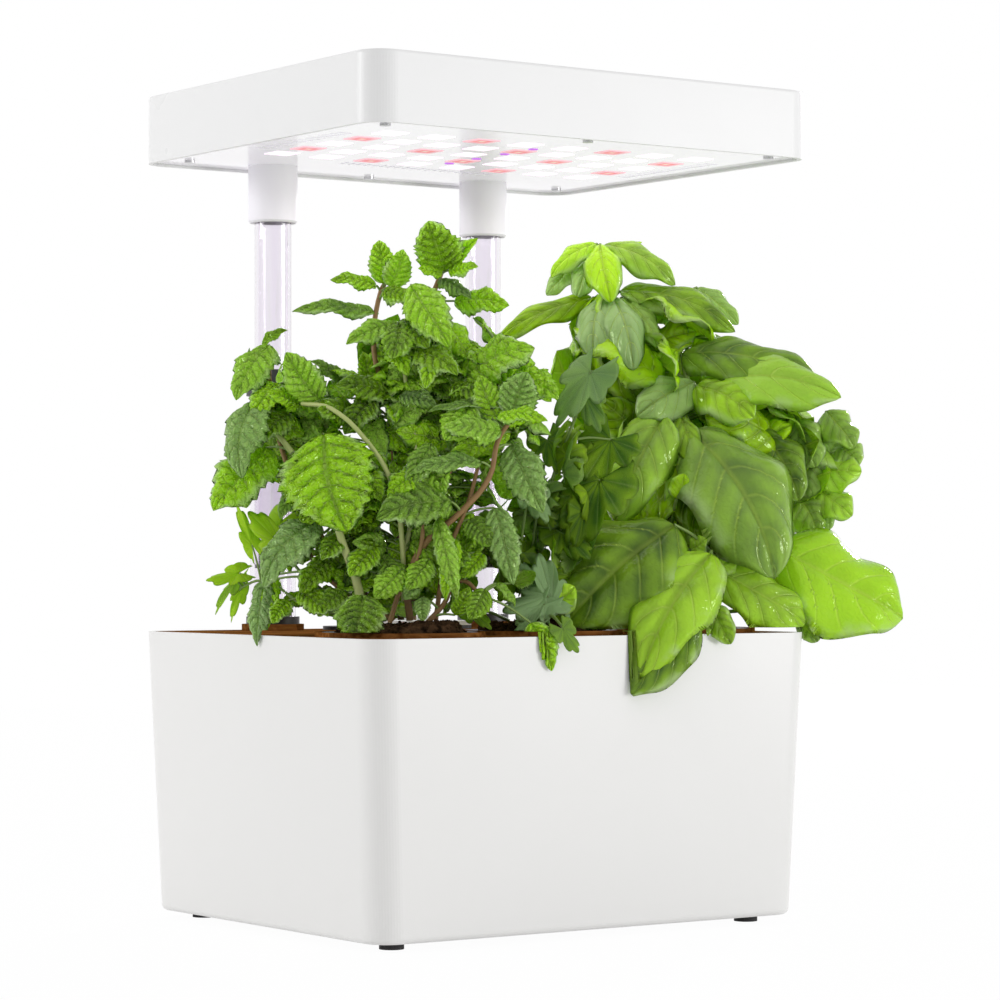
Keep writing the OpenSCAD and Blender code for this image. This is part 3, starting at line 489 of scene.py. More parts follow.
def closed_blade(points, normal, thickness, along_across, veins, tone, grey, chance):
    """Closes a leaf with a lower skin that meets the upper one at the margin. Gives back points,
    faces, two coordinates of the blade and of its veins, and the tint: tone, greyness, underside
    and chance."""
    rows, cols = points.shape[:2]
    top = np.arange(rows * cols).reshape(rows, cols)
    low = top.copy()
    low[1:-1, 1:-1] = np.arange((rows - 2) * (cols - 2)).reshape(rows - 2, cols - 2) + top.size

    def corners(ids):
        return [ids[:-1, :-1], ids[:-1, 1:], ids[1:, 1:], ids[1:, :-1]]

    def on_both(pair):
        grid = np.stack([np.broadcast_to(part, top.shape) for part in pair], -1)
        return np.concatenate([grid.reshape(-1, 2), grid[1:-1, 1:-1].reshape(-1, 2)])

    under = points - normal * thickness
    verts = np.concatenate([points.reshape(-1, 3), under[1:-1, 1:-1].reshape(-1, 3)])
    faces = np.concatenate([np.stack(skin, -1).reshape(-1, 4) for skin in (corners(top), corners(low)[::-1])])
    tint = np.empty((len(verts), 4))
    tint[:] = (tone, grey, 0.0, chance)
    tint[top.size:, 2] = 1.0
    return verts, faces, on_both(along_across), on_both(veins), tint


def leaf_shell(form, base, tip, face, width, bend, cup, rows, cols, draw, tone, grey):
    """One leaf of a form, with rows of faces along it and cols across it; bend and cup in degrees."""
    low, high, veins, lean, puff, teeth, notch, wave = form
    length, run, side, face = blade_axes(base, tip, face)
    s = np.linspace(0, 1, rows + 1)[:, None]
    t = np.linspace(-1, 1, cols + 1)[None, :]
    reach = np.abs(t)
    phase, twist = draw.uniform(0, 6.28), draw.uniform(-0.22, 0.22)
    # the outline, widest between the stalk and the tip, with teeth short of both
    out = s ** low * (1 - s) ** high
    out /= (low / (low + high)) ** low * (high / (low + high)) ** high
    half = np.maximum(out * width / 2, STALK_HALF_WIDTH)
    if teeth:
        tooth = (s * teeth) % 1.0
        half = half * (1 + notch * (tooth ** 1.4 - 0.4) * (s > 0.12) * (s < 0.97))
    # whole numbers of vein lie on the side veins, between which the skin is puffed
    vein = veins * (s - lean * reach ** 1.25) + 0.35
    panel = np.abs(np.sin(np.pi * vein)) ** 0.9
    swell = (4 * reach * (1 - reach)).clip(0) ** 0.6
    dome = panel * swell if teeth else 0.45 * panel * swell + 0.75 * swell
    relief = width * puff * (dome - 0.6 * np.exp(-(t / 0.10) ** 2))
    if teeth:
        cells = np.sin(np.pi * vein * 2) * np.sin(reach * 3.14 * 4 + phase)
        relief = relief + width * puff * 0.25 * cells * swell
    relief = relief * np.minimum(1, out * 1.6)
    # the blade bows along its length, drops at its tip, cups across and waves at its margin
    arch = length * math.radians(bend) * 0.75 * s * (1 - s)
    arch = arch - length * 0.05 * np.maximum(0, (s - 0.72) / 0.28) ** 2
    across = -half * np.tan(math.radians(cup)) * reach ** (1.7 if cup > 0 else 1.05)
    roll = np.sin(2 * np.pi * (1.9 * s + 0.5 * np.sign(t)) + phase)
    ripple = wave * width * reach ** 2.5 * roll * np.minimum(1, out * 1.5)
    sway = width * 0.07 * math.sin(phase) * np.sin(np.pi * s)
    flat = half * t * math.cos(math.radians(cup) * 0.6) + sway
    up = arch + across + relief + ripple
    turn = twist * (s - 0.3)
    x_side = flat * np.cos(turn) - up * np.sin(turn)
    x_up = flat * np.sin(turn) + up * np.cos(turn)
    points = base + run * (length * s)[..., None] + side * x_side[..., None] + face * x_up[..., None]
    normal = np.cross(np.gradient(points, axis=1), np.gradient(points, axis=0))
    normal /= np.maximum(np.linalg.norm(normal, axis=2, keepdims=True), 1e-9)
    return closed_blade(points, normal, LEAF_THICKNESS, (s, t * 0.5 + 0.5), (vein, reach), tone, grey,
                        draw.random())


def clear_of_rim(points):
    """Leaf points moved into the plants' room, and above the deck and rim but for a small share of
    how far they lay below."""
    points = points.copy()
    inside = (np.abs(points[:, 0]) < DECK_HALF_X) & (np.abs(points[:, 1]) < DECK_HALF_Y)
    low = inside & (points[:, 2] < DECK_CLEARANCE_Z)
    points[low, 2] = DECK_CLEARANCE_Z + KEPT_BELOW * (points[low, 2] - DECK_CLEARANCE_Z)
    for axis, (least, most) in enumerate(PLANT_ROOM):
        points[:, axis] = points[:, axis].clip(least, most)
    return points


def leaf_mesh(name, shells, material):
    """Joins leaf shells, in millimetres, into one piece in metres."""
    count, parts = 0, []
    for verts, faces, *data in shells:
        parts.append((clear_of_rim(verts) * 0.001, faces + count, *data))
        count += len(verts)
    verts, faces, blade, veins, tints = (np.concatenate(part) for part in zip(*parts))
    mesh = bpy.data.meshes.new(name)
    mesh.vertices.add(len(verts))
    mesh.vertices.foreach_set("co", verts.astype(np.float32).ravel())
    mesh.loops.add(faces.size)
    mesh.loops.foreach_set("vertex_index", faces.ravel().astype(np.int32))
    mesh.polygons.add(len(faces))
    mesh.polygons.foreach_set("loop_start", np.arange(0, faces.size, 4, dtype=np.int32))
    mesh.polygons.foreach_set("use_smooth", np.ones(len(faces), bool))
    for layer_name, values in (("leaf", blade), ("veins", veins)):
        layer = mesh.uv_layers.new(name=layer_name)
        layer.uv.foreach_set("vector", values[faces.ravel()].astype(np.float32).ravel())
    tint = mesh.color_attributes.new("tint", "FLOAT_COLOR", "POINT")
    tint.data.foreach_set("color", tints.astype(np.float32).ravel())
    mesh.materials.append(material)
    mesh.update(calc_edges=True)
    mesh.validate()
    piece = bpy.data.objects.new(name, mesh)
    bpy.context.scene.collection.objects.link(piece)
    return piece


def leaf_finish(name, dark, bright, vein, under, grey, sunlit, roughness, net, net_share, crinkle,
                vein_share, spec, bloom_and_sheen=(0.70, 0.80, 0.56), light_through=0.40):
    """Living leaf: deep to bright green by its tint, paler at the veins, a fine net between the veins,
    painted shade and highlight on the puffed panels and the net's cells, a painted sheen toward the margin, a
    pale rim that is partly painted sheen, and a lighter dull underside."""
    material, tree, skin = new_material(name)
    place = own_place(tree)
    dye = tree.nodes.new("ShaderNodeVertexColor")
    dye.layer_name = "tint"
    share = tree.nodes.new("ShaderNodeSeparateColor")
    fill(tree, share, {"Color": dye.outputs["Color"]})
    tone, greyness, underside = (share.outputs[part] for part in ("Red", "Green", "Blue"))
    rib = tree.nodes.new("ShaderNodeSeparateXYZ")
    fill(tree, rib, {0: add(tree, "ShaderNodeUVMap", uv_map="veins")})
    reach = rib.outputs["Y"]

    def stepped(value, start, end, low=0.0, high=1.0):
        return ranged(tree, value, start, end, low, high, "SMOOTHSTEP")

    def times(first, second):
        return maths(tree, "MULTIPLY", first, second)

    from_vein = maths(tree, "PINGPONG", rib.outputs["X"], 0.5)
    side_vein = times(stepped(from_vein, 0.0, 0.085, 1.0, 0.0), stepped(reach, 0.55, 1.0, 1.0, 0.25))
    lines = maths(tree, "MAXIMUM", side_vein, stepped(reach, 0.015, 0.07, 1.0, 0.0))
    cells = add(tree, "ShaderNodeTexVoronoi", {"Vector": place, "Scale": net}, "Distance",
                feature="DISTANCE_TO_EDGE")
    cloud = noise(tree, place, 60.0, 5.0)
    drift = stepped(cloud, 0.3, 0.7, -0.16, 0.16)
    # painted light and shade of the puffed panels: paler in their middles, darker next to the side veins
    painted_quilt_shading = stepped(from_vein, 0.0, 0.42, -0.11, 0.10)
    # painted sheen: the leaf lighter toward its margin and darker near the midrib
    margin = stepped(reach, 0.35, 1.0, -0.07, 0.20)
    lighter = maths(tree, "ADD", drift, maths(tree, "ADD", painted_quilt_shading, margin))
    depth = maths(tree, "MULTIPLY_ADD", tone, 1.65, lighter)
    depth = maths(tree, "MAXIMUM", maths(tree, "MINIMUM", depth, 1.0), 0.0)
    green = mix(tree, mix(tree, dark, bright, depth), grey, greyness)
    # a paler rim in patches, partly the leaf's own pale margin and partly a painted sheen
    bloom_and_sheen_share = times(stepped(reach, 0.62, 1.0), stepped(cloud, 0.44, 0.60, 0.0, 0.6))
    green = mix(tree, green, bloom_and_sheen, bloom_and_sheen_share)
    line_colour = mix(tree, green, vein, maths(tree, "ADD", times(tone, 0.5), 0.35))
    top = mix(tree, green, line_colour, times(lines, vein_share))
    fine = stepped(cells, 0.0, 0.12, 1.0, 0.0)
    top = mix(tree, top, line_colour, times(fine, vein_share * net_share * 0.2))
    # painted highlight: the middles of the net's cells are made paler, as where light catches the puffed skin
    top = mix(tree, top, vein, times(stepped(cells, 0.08, 0.35, 0.0, 0.4 * net_share), tone))
    back = mix(tree, mix(tree, green, under, 0.55), vein, times(lines, 0.5))
    colour = mix(tree, top, back, underside)
    pillow = times(stepped(cells, 0.0, 0.3), 0.5 * net_share)
    normal = bumped(tree, maths(tree, "MULTIPLY_ADD", lines, -0.35, pillow), crinkle, 0.0018)
    dull = stepped(underside, 0.3, 0.9, 0.0, 0.25)
    fill(tree, skin, {
        "Base Color": colour,
        "Specular IOR Level": spec,
        "Specular Tint": (0.85, 1.0, 0.60),
        "Normal": normal,
        "Roughness": maths(tree, "ADD", maths(tree, "MULTIPLY_ADD", cloud, 0.2, roughness - 0.1), dull),
    })
    through = add(tree, "ShaderNodeBsdfTranslucent",
                  {"Color": mix(tree, colour, sunlit, 0.55), "Normal": normal})
    thin = add(tree, "ShaderNodeMixShader", {"Fac": light_through, 1: skin.outputs[0], 2: through})
    fill(tree, tree.nodes["Material Output"], {"Surface": thin})
    return material


def stem_tree():
    """Round stems that follow their paths, each point with its own thickness."""
    tree, ids, given, end = node_group("stems", {"Sides": "Int", "Finish": "Material"})
    ring = add(tree, "GeometryNodeCurvePrimitiveCircle", {"Radius": 1.0, "Resolution": given["Sides"]})
    swept = add(tree, "GeometryNodeCurveToMesh", {
        "Curve": given["Geometry"], "Profile Curve": ring, "Fill Caps": True,
        "Scale": add(tree, "GeometryNodeInputRadius")})
    real = add(tree, "GeometryNodeRealizeInstances", {0: swept})
    painted = {"Geometry": real, "Material": given["Finish"]}
    fill(tree, end, {0: add(tree, "GeometryNodeSetMaterial", painted)})
    return tree, ids


stems_group, stem_ids = stem_tree()


def stem_piece(name, paths, sides, material):
    """Sweeps paths (points, radius at foot, radius at tip; in millimetres) into one mesh piece."""
    curve = bpy.data.curves.new(name + "_paths", "CURVE")
    curve.dimensions = "3D"
    curve.resolution_u = 5
    for points, foot, top in paths:
        spline = curve.splines.new("BEZIER")
        spline.bezier_points.add(len(points) - 1)
        for k, (knot, point) in enumerate(zip(spline.bezier_points, points)):
            knot.co = Vector(point) * 0.001
            knot.handle_left_type = knot.handle_right_type = "AUTO"
            knot.radius = 0.001 * (foot + (top - foot) * k / (len(points) - 1))
    source = bpy.data.objects.new(name + "_paths", curve)
    settings = {stem_ids["Sides"]: sides, stem_ids["Finish"]: material}
    piece = grown(source, stems_group, settings, name)
    piece.data.polygons.foreach_set("use_smooth", np.ones(len(piece.data.polygons), bool))
    return piece


def stalk_paths(bases, stems, foot, top, droop=0.06, shortest=1.5, marks_between=8):
    """A short bowed stalk from each leaf to the nearest place on a stem, sooner a lower one."""
    marks = np.array([a + (b - a) * k / marks_between for points, _, _ in stems
                      for a, b in zip(points, points[1:]) for k in range(marks_between)])
    paths = []
    for base in bases:
        gap = np.linalg.norm(marks - base, axis=1) + 0.9 * np.maximum(0, marks[:, 2] - base[2] + 3)
        foot_at = marks[gap.argmin()]
        reach = np.linalg.norm(base - foot_at)
        if reach >= shortest:
            middle = (base + foot_at) / 2 + np.array((0, 0, droop * reach))
            paths.append(((foot_at, middle, base), foot, top))
    return paths


def set_leaves(side, rows):
    """Leaves set one by one. A row holds where the camera sees the stalk's end and the tip (x, y and
    nearness each), the width there, how far the face leans right and upward, bend and cup in
    degrees, tone and greyness."""
    leaves = []
    for foot_x, foot_y, foot_near, tip_x, tip_y, tip_near, width, right, up, bend, cup, tone, grey in rows:
        depth = (depth_at(side, foot_near) + depth_at(side, tip_near)) / 2
        leaves.append((seen_at(side, foot_x, foot_y, foot_near), seen_at(side, tip_x, tip_y, tip_near),
                       facing(right, up), round(width * depth / LENS_REACH), bend, cup, tone, grey))
    return leaves


def inside(point, masses, share):
    """How many of the plant's rounded masses (middle and radii: right, near, up) hold the point."""
    return sum(sum(((point[i] - m[i]) / (m[3 + i] * share)) ** 2 for i in range(3)) < 1 for m in masses)


def filler_leaves(side, masses, count, draw, long, wide, tones):
    """Leaves that fill a plant's room behind and between the listed ones."""
    leaves = []
    weights = [(m[3] * m[4] * m[5]) ** 0.67 for m in masses]
    tries = 0
    while len(leaves) < count and tries < count * 80:
        tries += 1
        mass = draw.choices(masses, weights)[0]
        way = np.array([draw.gauss(0, 1) for _ in range(3)])
        way /= np.linalg.norm(way)
        in_front = way[1] > 0.25
        how_far_out = draw.uniform(0.30, 0.62) if in_front else draw.uniform(0.66, 0.88)
        base = np.array(mass[:3]) + way * np.array(mass[3:]) * how_far_out
        if not in_front and inside(base, masses, 0.8) > 1:
            continue
        swing = np.array([draw.gauss(0, 1) for _ in range(3)])
        swing -= way * swing.dot(way)
        swing /= np.linalg.norm(swing)
        run = way * 0.45 + swing * 0.8 + np.array((0, 0, -0.15))
        length = draw.uniform(*long)
        tip = base + run / np.linalg.norm(run) * length
        if not inside(tip, masses, 0.86 if in_front else 1.0):
            continue
        face = way + np.array((0, 0, 0.45)) + swing * 0.2
        face = TO_RIGHT * face[0] + TO_VIEWER * face[1] + UPWARD * face[2]
        width, bend, cup = length * draw.uniform(*wide), draw.uniform(15, 45), draw.uniform(5, 25)
        tone, grey = draw.uniform(*tones), draw.choice((0, 0, 0.1, 0.3))
        leaves.append((at_pot(side, *base), at_pot(side, *tip), face, width, bend, cup, tone, grey))
    return leaves


def plant(side, name, replaced, shape_leaf, leaves, inner, stem_sets, finish, grids, seed, stalk):
    """Leaves, stems and stalks of one plant, riding on its pod. Stem sets hold a name, stems (foot
    and tip radius, points as the camera sees them) and their finish; grids, the rows and columns
    of the listed leaves and of the inner ones; stalk, its radii at foot and leaf."""
    draw = random.Random(seed)
    pieces = []
    for part, group, (rows, cols) in ((name, leaves, grids[0]), (name + "_inner", inner, grids[1])):
        shells = [shape_leaf(base, tip, face, width, bend, cup, rows, cols, draw, tone, grey)
                  for base, tip, face, width, bend, cup, tone, grey in group]
        if shells:
            pieces.append(leaf_mesh(part + "_leaves", shells, finish))
    paths = []
    for part, stems, material in stem_sets:
        swept = [([seen_at(side, *point) for point in points], foot, top) for foot, top, points in stems]
        pieces.append(stem_piece(f"{name}_{part}", swept, 8, material))
        paths += swept
    bases = [leaf[0] for leaf in leaves + inner]
    pieces.append(stem_piece(name + "_stalks", stalk_paths(bases, paths, *stalk), 5, green_stalk))
    for piece in pieces:
        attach(piece, f"{side}_pod")
        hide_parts(*replaced)


mint_rows = [
    (445, 270, 10, 428, 222, 22, 50, -0.25, 0.35, 30, 15, 0.35, 0),
    (447, 268, 8, 477, 238, 10, 17, 0.1, 0.3, 10, -40, 0.6, 0),
    (448, 270, 12, 478, 266, 20, 20, 0.1, 0.5, 15, 10, 0.55, 0),
    (442, 273, 12, 418, 268, 18, 15, -0.2, 0.5, 10, 10, 0.75, 0),
    (440, 279, 8, 471, 298, 16, 24, 0.1, 0.75, 25, 20, 0.15, 0.3),
    (410, 284, 22, 449, 346, 38, 46, -0.15, 0.35, 30, 20, 0.95, 0.1),
    (455, 300, 5, 508, 303, 12, 34, 0.2, 0.45, 20, 15, 0.7, 0),
    (384, 284, 4, 379, 239, 0, 28, -0.1, 0.25, 15, -10, 0.5, 0),
    (390, 286, 8, 403, 250, 10, 30, 0.2, 0.2, 20, 10, 0.75, 0.1),
    (377, 285, 4, 331, 278, 14, 22, -0.1, 0.6, 25, 15, 0.45, 0),
    (384, 290, 10, 416, 303, 20, 28, 0.15, 0.5, 30, 20, 0.3, 0),
    (374, 313, 6, 294, 309, 22, 26, -0.1, 0.7, 25, 15, 0.2, 0.2),
    (398, 325, 16, 347, 341, 34, 32, -0.2, 0.55, 30, 15, 0.45, 0.2),
    (400, 322, 20, 392, 358, 40, 40, 0, 0.5, 30, 20, 0.3, 0.1),
    (405, 320, 18, 428, 345, 34, 36, 0.15, 0.5, 30, 20, 0.25, 0),
    (392, 342, 18, 408, 374, 34, 28, 0.1, 0.4, 35, 15, 0.7, 0),
    (410, 352, 22, 458, 372, 44, 42, 0.1, 0.6, 35, 20, 0.3, 0),
    (440, 350, 24, 425, 386, 44, 30, -0.1, 0.45, 30, 15, 0.5, 0),
    (270, 345, 10, 235, 398, 30, 46, -0.35, 0.25, 30, 20, 0.55, 0.2),
    (275, 382, 20, 252, 414, 36, 34, -0.25, 0.3, 30, 20, 0.7, 0),
    (262, 345, 6, 287, 330, 10, 14, 0, 0.6, 60, 10, 0.3, 0),
    (321, 400, 26, 287, 352, 30, 40, -0.15, 0.2, 20, -15, 0.6, 0.2),
    (345, 384, 6, 312, 360, 14, 18, -0.2, 0.6, 20, 0, 0.25, 0.3),
    (368, 388, 8, 364, 352, 4, 20, 0, 0.2, 15, -20, 0.45, 0),
    (392, 396, 20, 338, 384, 34, 34, -0.15, 0.5, 30, 15, 0.2, 0),
    (300, 405, 20, 268, 392, 34, 26, -0.3, 0.4, 25, 10, 0.65, 0),
    (258, 400, 24, 240, 475, 50, 50, -0.35, 0.15, 45, 25, 0.5, 0.75),
    (266, 448, 20, 212, 508, 46, 64, -0.3, 0.25, 25, 15, 0.75, 0),
    (323, 434, 50, 347, 532, 60, 100, -0.05, 0.25, 25, 18, 0.8, 0),
    (372, 398, 24, 345, 432, 40, 34, -0.1, 0.4, 30, 15, 0.15, 0),
    (292, 415, 20, 262, 440, 36, 34, -0.2, 0.4, 30, 15, 0.2, 0),
    (318, 520, 34, 262, 586, 50, 48, -0.3, 0.25, 50, 25, 0.45, 0.8),
    (302, 488, 24, 280, 518, 34, 24, -0.3, 0.3, 40, 10, 0.3, 0.3),
    (264, 580, 16, 256, 646, 23, 30, -0.35, 0.2, 25, 20, 0.5, 0.9),
    (274, 575, 14, 264, 634, 22, 22, -0.2, 0.3, 25, 10, 0.6, 0),
    (362, 596, 66, 352, 641, 80, 56, -0.2, 0.4, 25, 15, 0.22, 0.1),
    (300, 590, 34, 328, 614, 48, 28, 0.1, 0.4, 25, 10, 0.35, 0),
    (452, 502, 50, 376, 518, 62, 50, -0.1, 0.5, 25, 10, 0.25, 0.2),
    (481, 462, 48, 411, 472, 56, 26, -0.1, 0.7, 20, 5, 0.4, 0.5),
    (501, 432, 48, 445, 426, 58, 36, -0.1, 0.6, 25, 15, 0.6, 0.3),
    (489, 405, 40, 428, 410, 46, 14, 0, 0.8, 15, 0, 0.2, 0.3),
    (499, 420, 40, 480, 374, 42, 32, -0.1, 0.25, 20, 10, 0.75, 0.1),
    (512, 416, 42, 527, 372, 46, 44, 0.1, 0.2, 25, 15, 0.55, 0.6),
    (497, 418, 48, 547, 420, 58, 24, 0.1, 0.7, 30, 10, 0.9, 0),
    (462, 378, 20, 532, 346, 36, 60, 0.05, 0.55, 30, 15, 0.85, 0.1),
    (499, 352, 22, 552, 400, 34, 44, 0.2, 0.45, 30, 15, 0.8, 0),
    (520, 372, 24, 559, 398, 36, 36, 0.15, 0.4, 30, 15, 0.8, 0.1),
    (510, 444, 34, 543, 512, 48, 44, 0.1, 0.25, 30, 15, 0.5, 0.7),
    (495, 508, 40, 513, 584, 56, 34, 0.05, 0.2, 20, 20, 0.5, 0.7),
    (438, 520, 48, 457, 600, 58, 24, -0.15, 0.2, 40, 25, 0.75, 0.3),
    (470, 405, 40, 445, 440, 52, 44, -0.1, 0.5, 20, 15, 0.7, 0.2),
    (455, 540, 48, 445, 600, 58, 22, -0.1, 0.3, 25, 5, 0.75, 0),
    (530, 622, 47, 553, 671, 48, 32, 0.05, 0.2, 15, 12, 0.65, 0),
    (402, 570, 46, 374, 597, 58, 34, -0.1, 0.4, 25, 15, 0.85, 0.2),
    (424, 598, 50, 423, 622, 56, 18, 0, 0.3, 20, 10, 0.4, 0.6),
    (418, 580, 50, 405, 600, 56, 18, 0, 0.3, 20, 10, 0.4, 0.6),
    (484, 553, 44, 461, 578, 52, 22, -0.1, 0.4, 20, 10, 0.4, 0),
    (340, 535, 40, 322, 560, 50, 26, -0.1, 0.4, 25, 10, 0.25, 0),
    (432, 445, 40, 408, 485, 52, 30, -0.1, 0.3, 25, 10, 0.35, 0.3),
    (452, 385, 30, 486, 398, 44, 30, 0.1, 0.6, 25, 15, 0.2, 0),
    (345, 415, 30, 318, 408, 42, 30, -0.2, 0.5, 25, 15, 0.25, 0),
    (420, 470, 44, 388, 495, 54, 34, -0.15, 0.5, 25, 10, 0.7, 0),
    (360, 470, 44, 382, 500, 52, 34, 0.1, 0.4, 25, 10, 0.35, 0),
    (455, 615, 50, 469, 588, 52, 20, 0.1, 0.3, 20, 10, 0.4, 0),
    (288, 600, 26, 272, 622, 34, 24, -0.2, 0.4, 25, 10, 0.4, 0),
    (400, 395, 30, 436, 404, 42, 26, 0.1, 0.6, 20, 10, 0.15, 0.3),
    (335, 500, 34, 300, 520, 46, 40, -0.2, 0.45, 25, 15, 0.35, 0),
    (330, 560, 30, 300, 590, 44, 34, -0.2, 0.4, 25, 15, 0.3, 0),
    (345, 590, 36, 318, 614, 48, 30, -0.1, 0.45, 20, 15, 0.25, 0.1),
    (372, 545, 40, 350, 575, 52, 34, -0.1, 0.4, 25, 15, 0.45, 0),
    (384, 560, 40, 402, 592, 52, 30, 0.1, 0.35, 25, 15, 0.3, 0.2),
    (430, 560, 46, 407, 590, 56, 30, -0.1, 0.4, 20, 15, 0.55, 0.2),
    (440, 545, 40, 472, 566, 50, 32, 0.15, 0.45, 20, 15, 0.3, 0.1),
    (485, 590, 48, 469, 620, 56, 28, 0.05, 0.3, 20, 15, 0.4, 0.1),
    (470, 520, 40, 491, 545, 50, 32, 0.15, 0.4, 25, 15, 0.3, 0.2),
    (420, 455, 36, 446, 492, 48, 38, 0.1, 0.35, 25, 15, 0.5, 0.2),
    (352, 455, 34, 388, 478, 44, 36, 0.1, 0.45, 25, 15, 0.35, 0),
    (300, 545, 26, 321, 520, 36, 28, 0, 0.4, 20, 10, 0.2, 0),
    (300, 480, 26, 318, 520, 38, 38, -0.05, 0.35, 30, 15, 0.4, 0),
]
mint_stems = [
    (2, 1.2, ((410, 621, 36), (408, 585, 38), (424, 546, 42), (462, 512, 44), (489, 478, 44),
     (499, 438, 42), (510, 420, 42))),
    (1.8, 1.2, ((401, 620, 20), (398, 540, 16), (388, 400, 16), (374, 352, 12), (380, 292, 2),
     (384, 284, 2))),
    (1.8, 1.3, ((412, 620, 22), (414, 530, 22), (418, 430, 20), (410, 370, 14), (428, 310, 6),
     (443, 270, 6))),
    (1.7, 1.1, ((393, 620, 24), (345, 570, 12), (290, 470, 6), (272, 400, 6), (268, 345, 4))),
    (1.4, 1, ((428, 622, 46), (444, 604, 46), (460, 582, 44), (483, 596, 47))),
    (1.4, 1, ((436, 621, 40), (446, 562, 42), (470, 500, 40), (480, 462, 40))),
    (1.4, 1, ((392, 621, 36), (345, 592, 30), (308, 550, 28), (312, 520, 30))),
    (1.3, 0.9, ((390, 622, 46), (402, 588, 46), (418, 560, 44), (430, 500, 44), (452, 470, 42))),
    (1.5, 1, ((410, 620, 20), (438, 490, 20), (454, 400, 18), (470, 370, 16), (505, 345, 14))),
]
mint_shoots = [
    (1.5, 1.1, ((404, 600, 36), (402, 540, 40), (394, 488, 44), (366, 440, 44), (330, 408, 40),
     (302, 404, 30))),
    (2.5, 1.5, ((364, 622, 40), (356, 580, 44), (344, 548, 44), (334, 516, 42), (320, 440, 34))),
    (1.4, 1, ((404, 560, 34), (418, 470, 34), (408, 400, 26), (398, 330, 14))),
    (1.7, 1.2, ((292, 452, 30), (275, 430, 26), (262, 402, 22))),
]
mint_crown = [(-17, -33, 103, 55, 45, 38), (35, -23, 97, 45, 40, 40), (14, -33, 154, 28, 25, 28),
              (-79, -38, 113, 25, 25, 40), (58, -12, 108, 28, 28, 30)]
mint_skirt = [(-1, -18, 46, 60, 40, 45), (-26, -18, 15, 40, 30, 25), (30, -8, 20, 40, 30, 30)]
mint_leaf = leaf_finish(
    "mint_leaf", dark=(0.014, 0.065, 0.001), bright=(0.50, 0.92, 0.010), vein=(0.80, 0.98, 0.30),
    under=(0.36, 0.50, 0.10), grey=(0.36, 0.54, 0.24), sunlit=(0.58, 0.90, 0.03), roughness=0.18,
    net=270.0, net_share=0.9, crinkle=0.9, vein_share=0.5, spec=0.5)
woody_stem = plastic("woody_stem", (0.20, 0.10, 0.035), (0.33, 0.20, 0.075),
                     0.6, grain=260, depth=0.5, drift=90.0)
green_stalk = plastic("green_stalk", (0.16, 0.27, 0.045), (0.22, 0.32, 0.08),
                      0.45, grain=300, depth=0.3, drift=60.0)
pale_shoot = plastic("pale_shoot", (0.36, 0.46, 0.12), (0.50, 0.52, 0.22),
                     0.45, grain=300, depth=0.3, drift=60.0)
mint_fill = filler_leaves("left", mint_crown, count=150, draw=random.Random(7), long=(24, 40),
                          wide=(0.5, 0.66), tones=(0.25, 0.9))
mint_fill += filler_leaves("left", mint_skirt, count=170, draw=random.Random(8), long=(16, 30),
                           wide=(0.5, 0.66), tones=(0.1, 0.7))
plant("left", "mint", replaced=("mint_plant",), shape_leaf=partial(leaf_shell, MINT_FORM),
      leaves=set_leaves("left", mint_rows), inner=mint_fill,
      stem_sets=(("stems", mint_stems, woody_stem), ("shoots", mint_shoots, pale_shoot)),
      finish=mint_leaf, grids=((44, 12), (18, 6)), seed=11, stalk=(0.75, 0.55))

# Cilantro: thin leaves on slender green stems, a few low shoots beside the mint and a small plant
# in the middle pod. Each leaf is a fan of three lobes, and each lobe is cut into blunt fingers.
FAN_HALF_TURN = 2.3
FAN_THICKNESS = 0.3


def fan_shell(base, tip, face, width, bend, cup, rows, cols, draw, tone, grey):
    """One lobed leaf, with rows of faces from its stalk outward and cols round it."""
    length, run, side, face = blade_axes(base, tip, face)
    r = np.linspace(0.02, 1, rows + 1)[:, None]
    a = np.linspace(-FAN_HALF_TURN, FAN_HALF_TURN, cols + 1)[None, :]
    lobe = 0.60 + 0.40 * np.abs(np.cos(1.8 * a)) ** 0.55
    finger = 0.82 + 0.18 * np.abs(np.cos(5.4 * a)) ** 0.6
    edge = lobe * finger * (1 - 0.25 * (np.abs(a) / FAN_HALF_TURN) ** 3)
    phase = draw.uniform(0, 6.28)
    reach = r * edge
    # the fan falls away from its stalk, waves at its margin, and is creased between the fingers
    up = -length * math.tan(math.radians(cup + 8)) * reach ** 2 * 0.6
    up = up + length * 0.09 * r ** 2 * np.sin(4 * a + phase)
    up = up + length * math.radians(bend) * 0.2 * reach * (1 - reach) * np.cos(a)
    up = up - width * 0.02 * np.exp(-(np.abs(np.sin(5.4 * a)) / 0.3) ** 2) * r
    along = length * reach * np.cos(a)
    aside = width * 0.5 * reach * np.sin(a) * 1.05
    points = base + run * along[..., None] + side * aside[..., None] + face * up[..., None]
    veins = (1.8 * a * 6 / (2 * np.pi), r * 0.6 + 0.1)
    return closed_blade(points, face, FAN_THICKNESS, (r, a * 0.2 + 0.5), veins, tone, grey, draw.random())


side_cilantro_rows = [
    (284, 548, 30, 248, 512, 34, 44, -0.2, 0.3, 20, 0, 0.75, 0),
    (282, 520, 28, 262, 560, 32, 40, -0.2, 0.3, 20, 0, 0.7, 0),
    (252, 545, 20, 236, 505, 24, 22, -0.2, 0.2, 15, 0, 0.8, 0),
    (240, 572, 12, 206, 580, 16, 26, -0.2, 0.4, 15, 0, 0.65, 0),
    (236, 580, 12, 214, 612, 18, 16, -0.3, 0.3, 30, 0, 0.6, 0.2),
    (240, 590, 10, 230, 622, 14, 18, -0.3, 0.3, 20, 0, 0.7, 0),
    (312, 470, 26, 278, 480, 34, 40, -0.2, 0.4, 20, 0, 0.6, 0),
]
side_cilantro_stems = [
    (0.9, 0.6, ((384, 621, 30), (306, 606, 22), (260, 580, 14), (240, 588, 12))),
    (0.9, 0.6, ((386, 621, 28), (312, 582, 24), (284, 548, 26), (282, 520, 24), (312, 470, 24))),
]
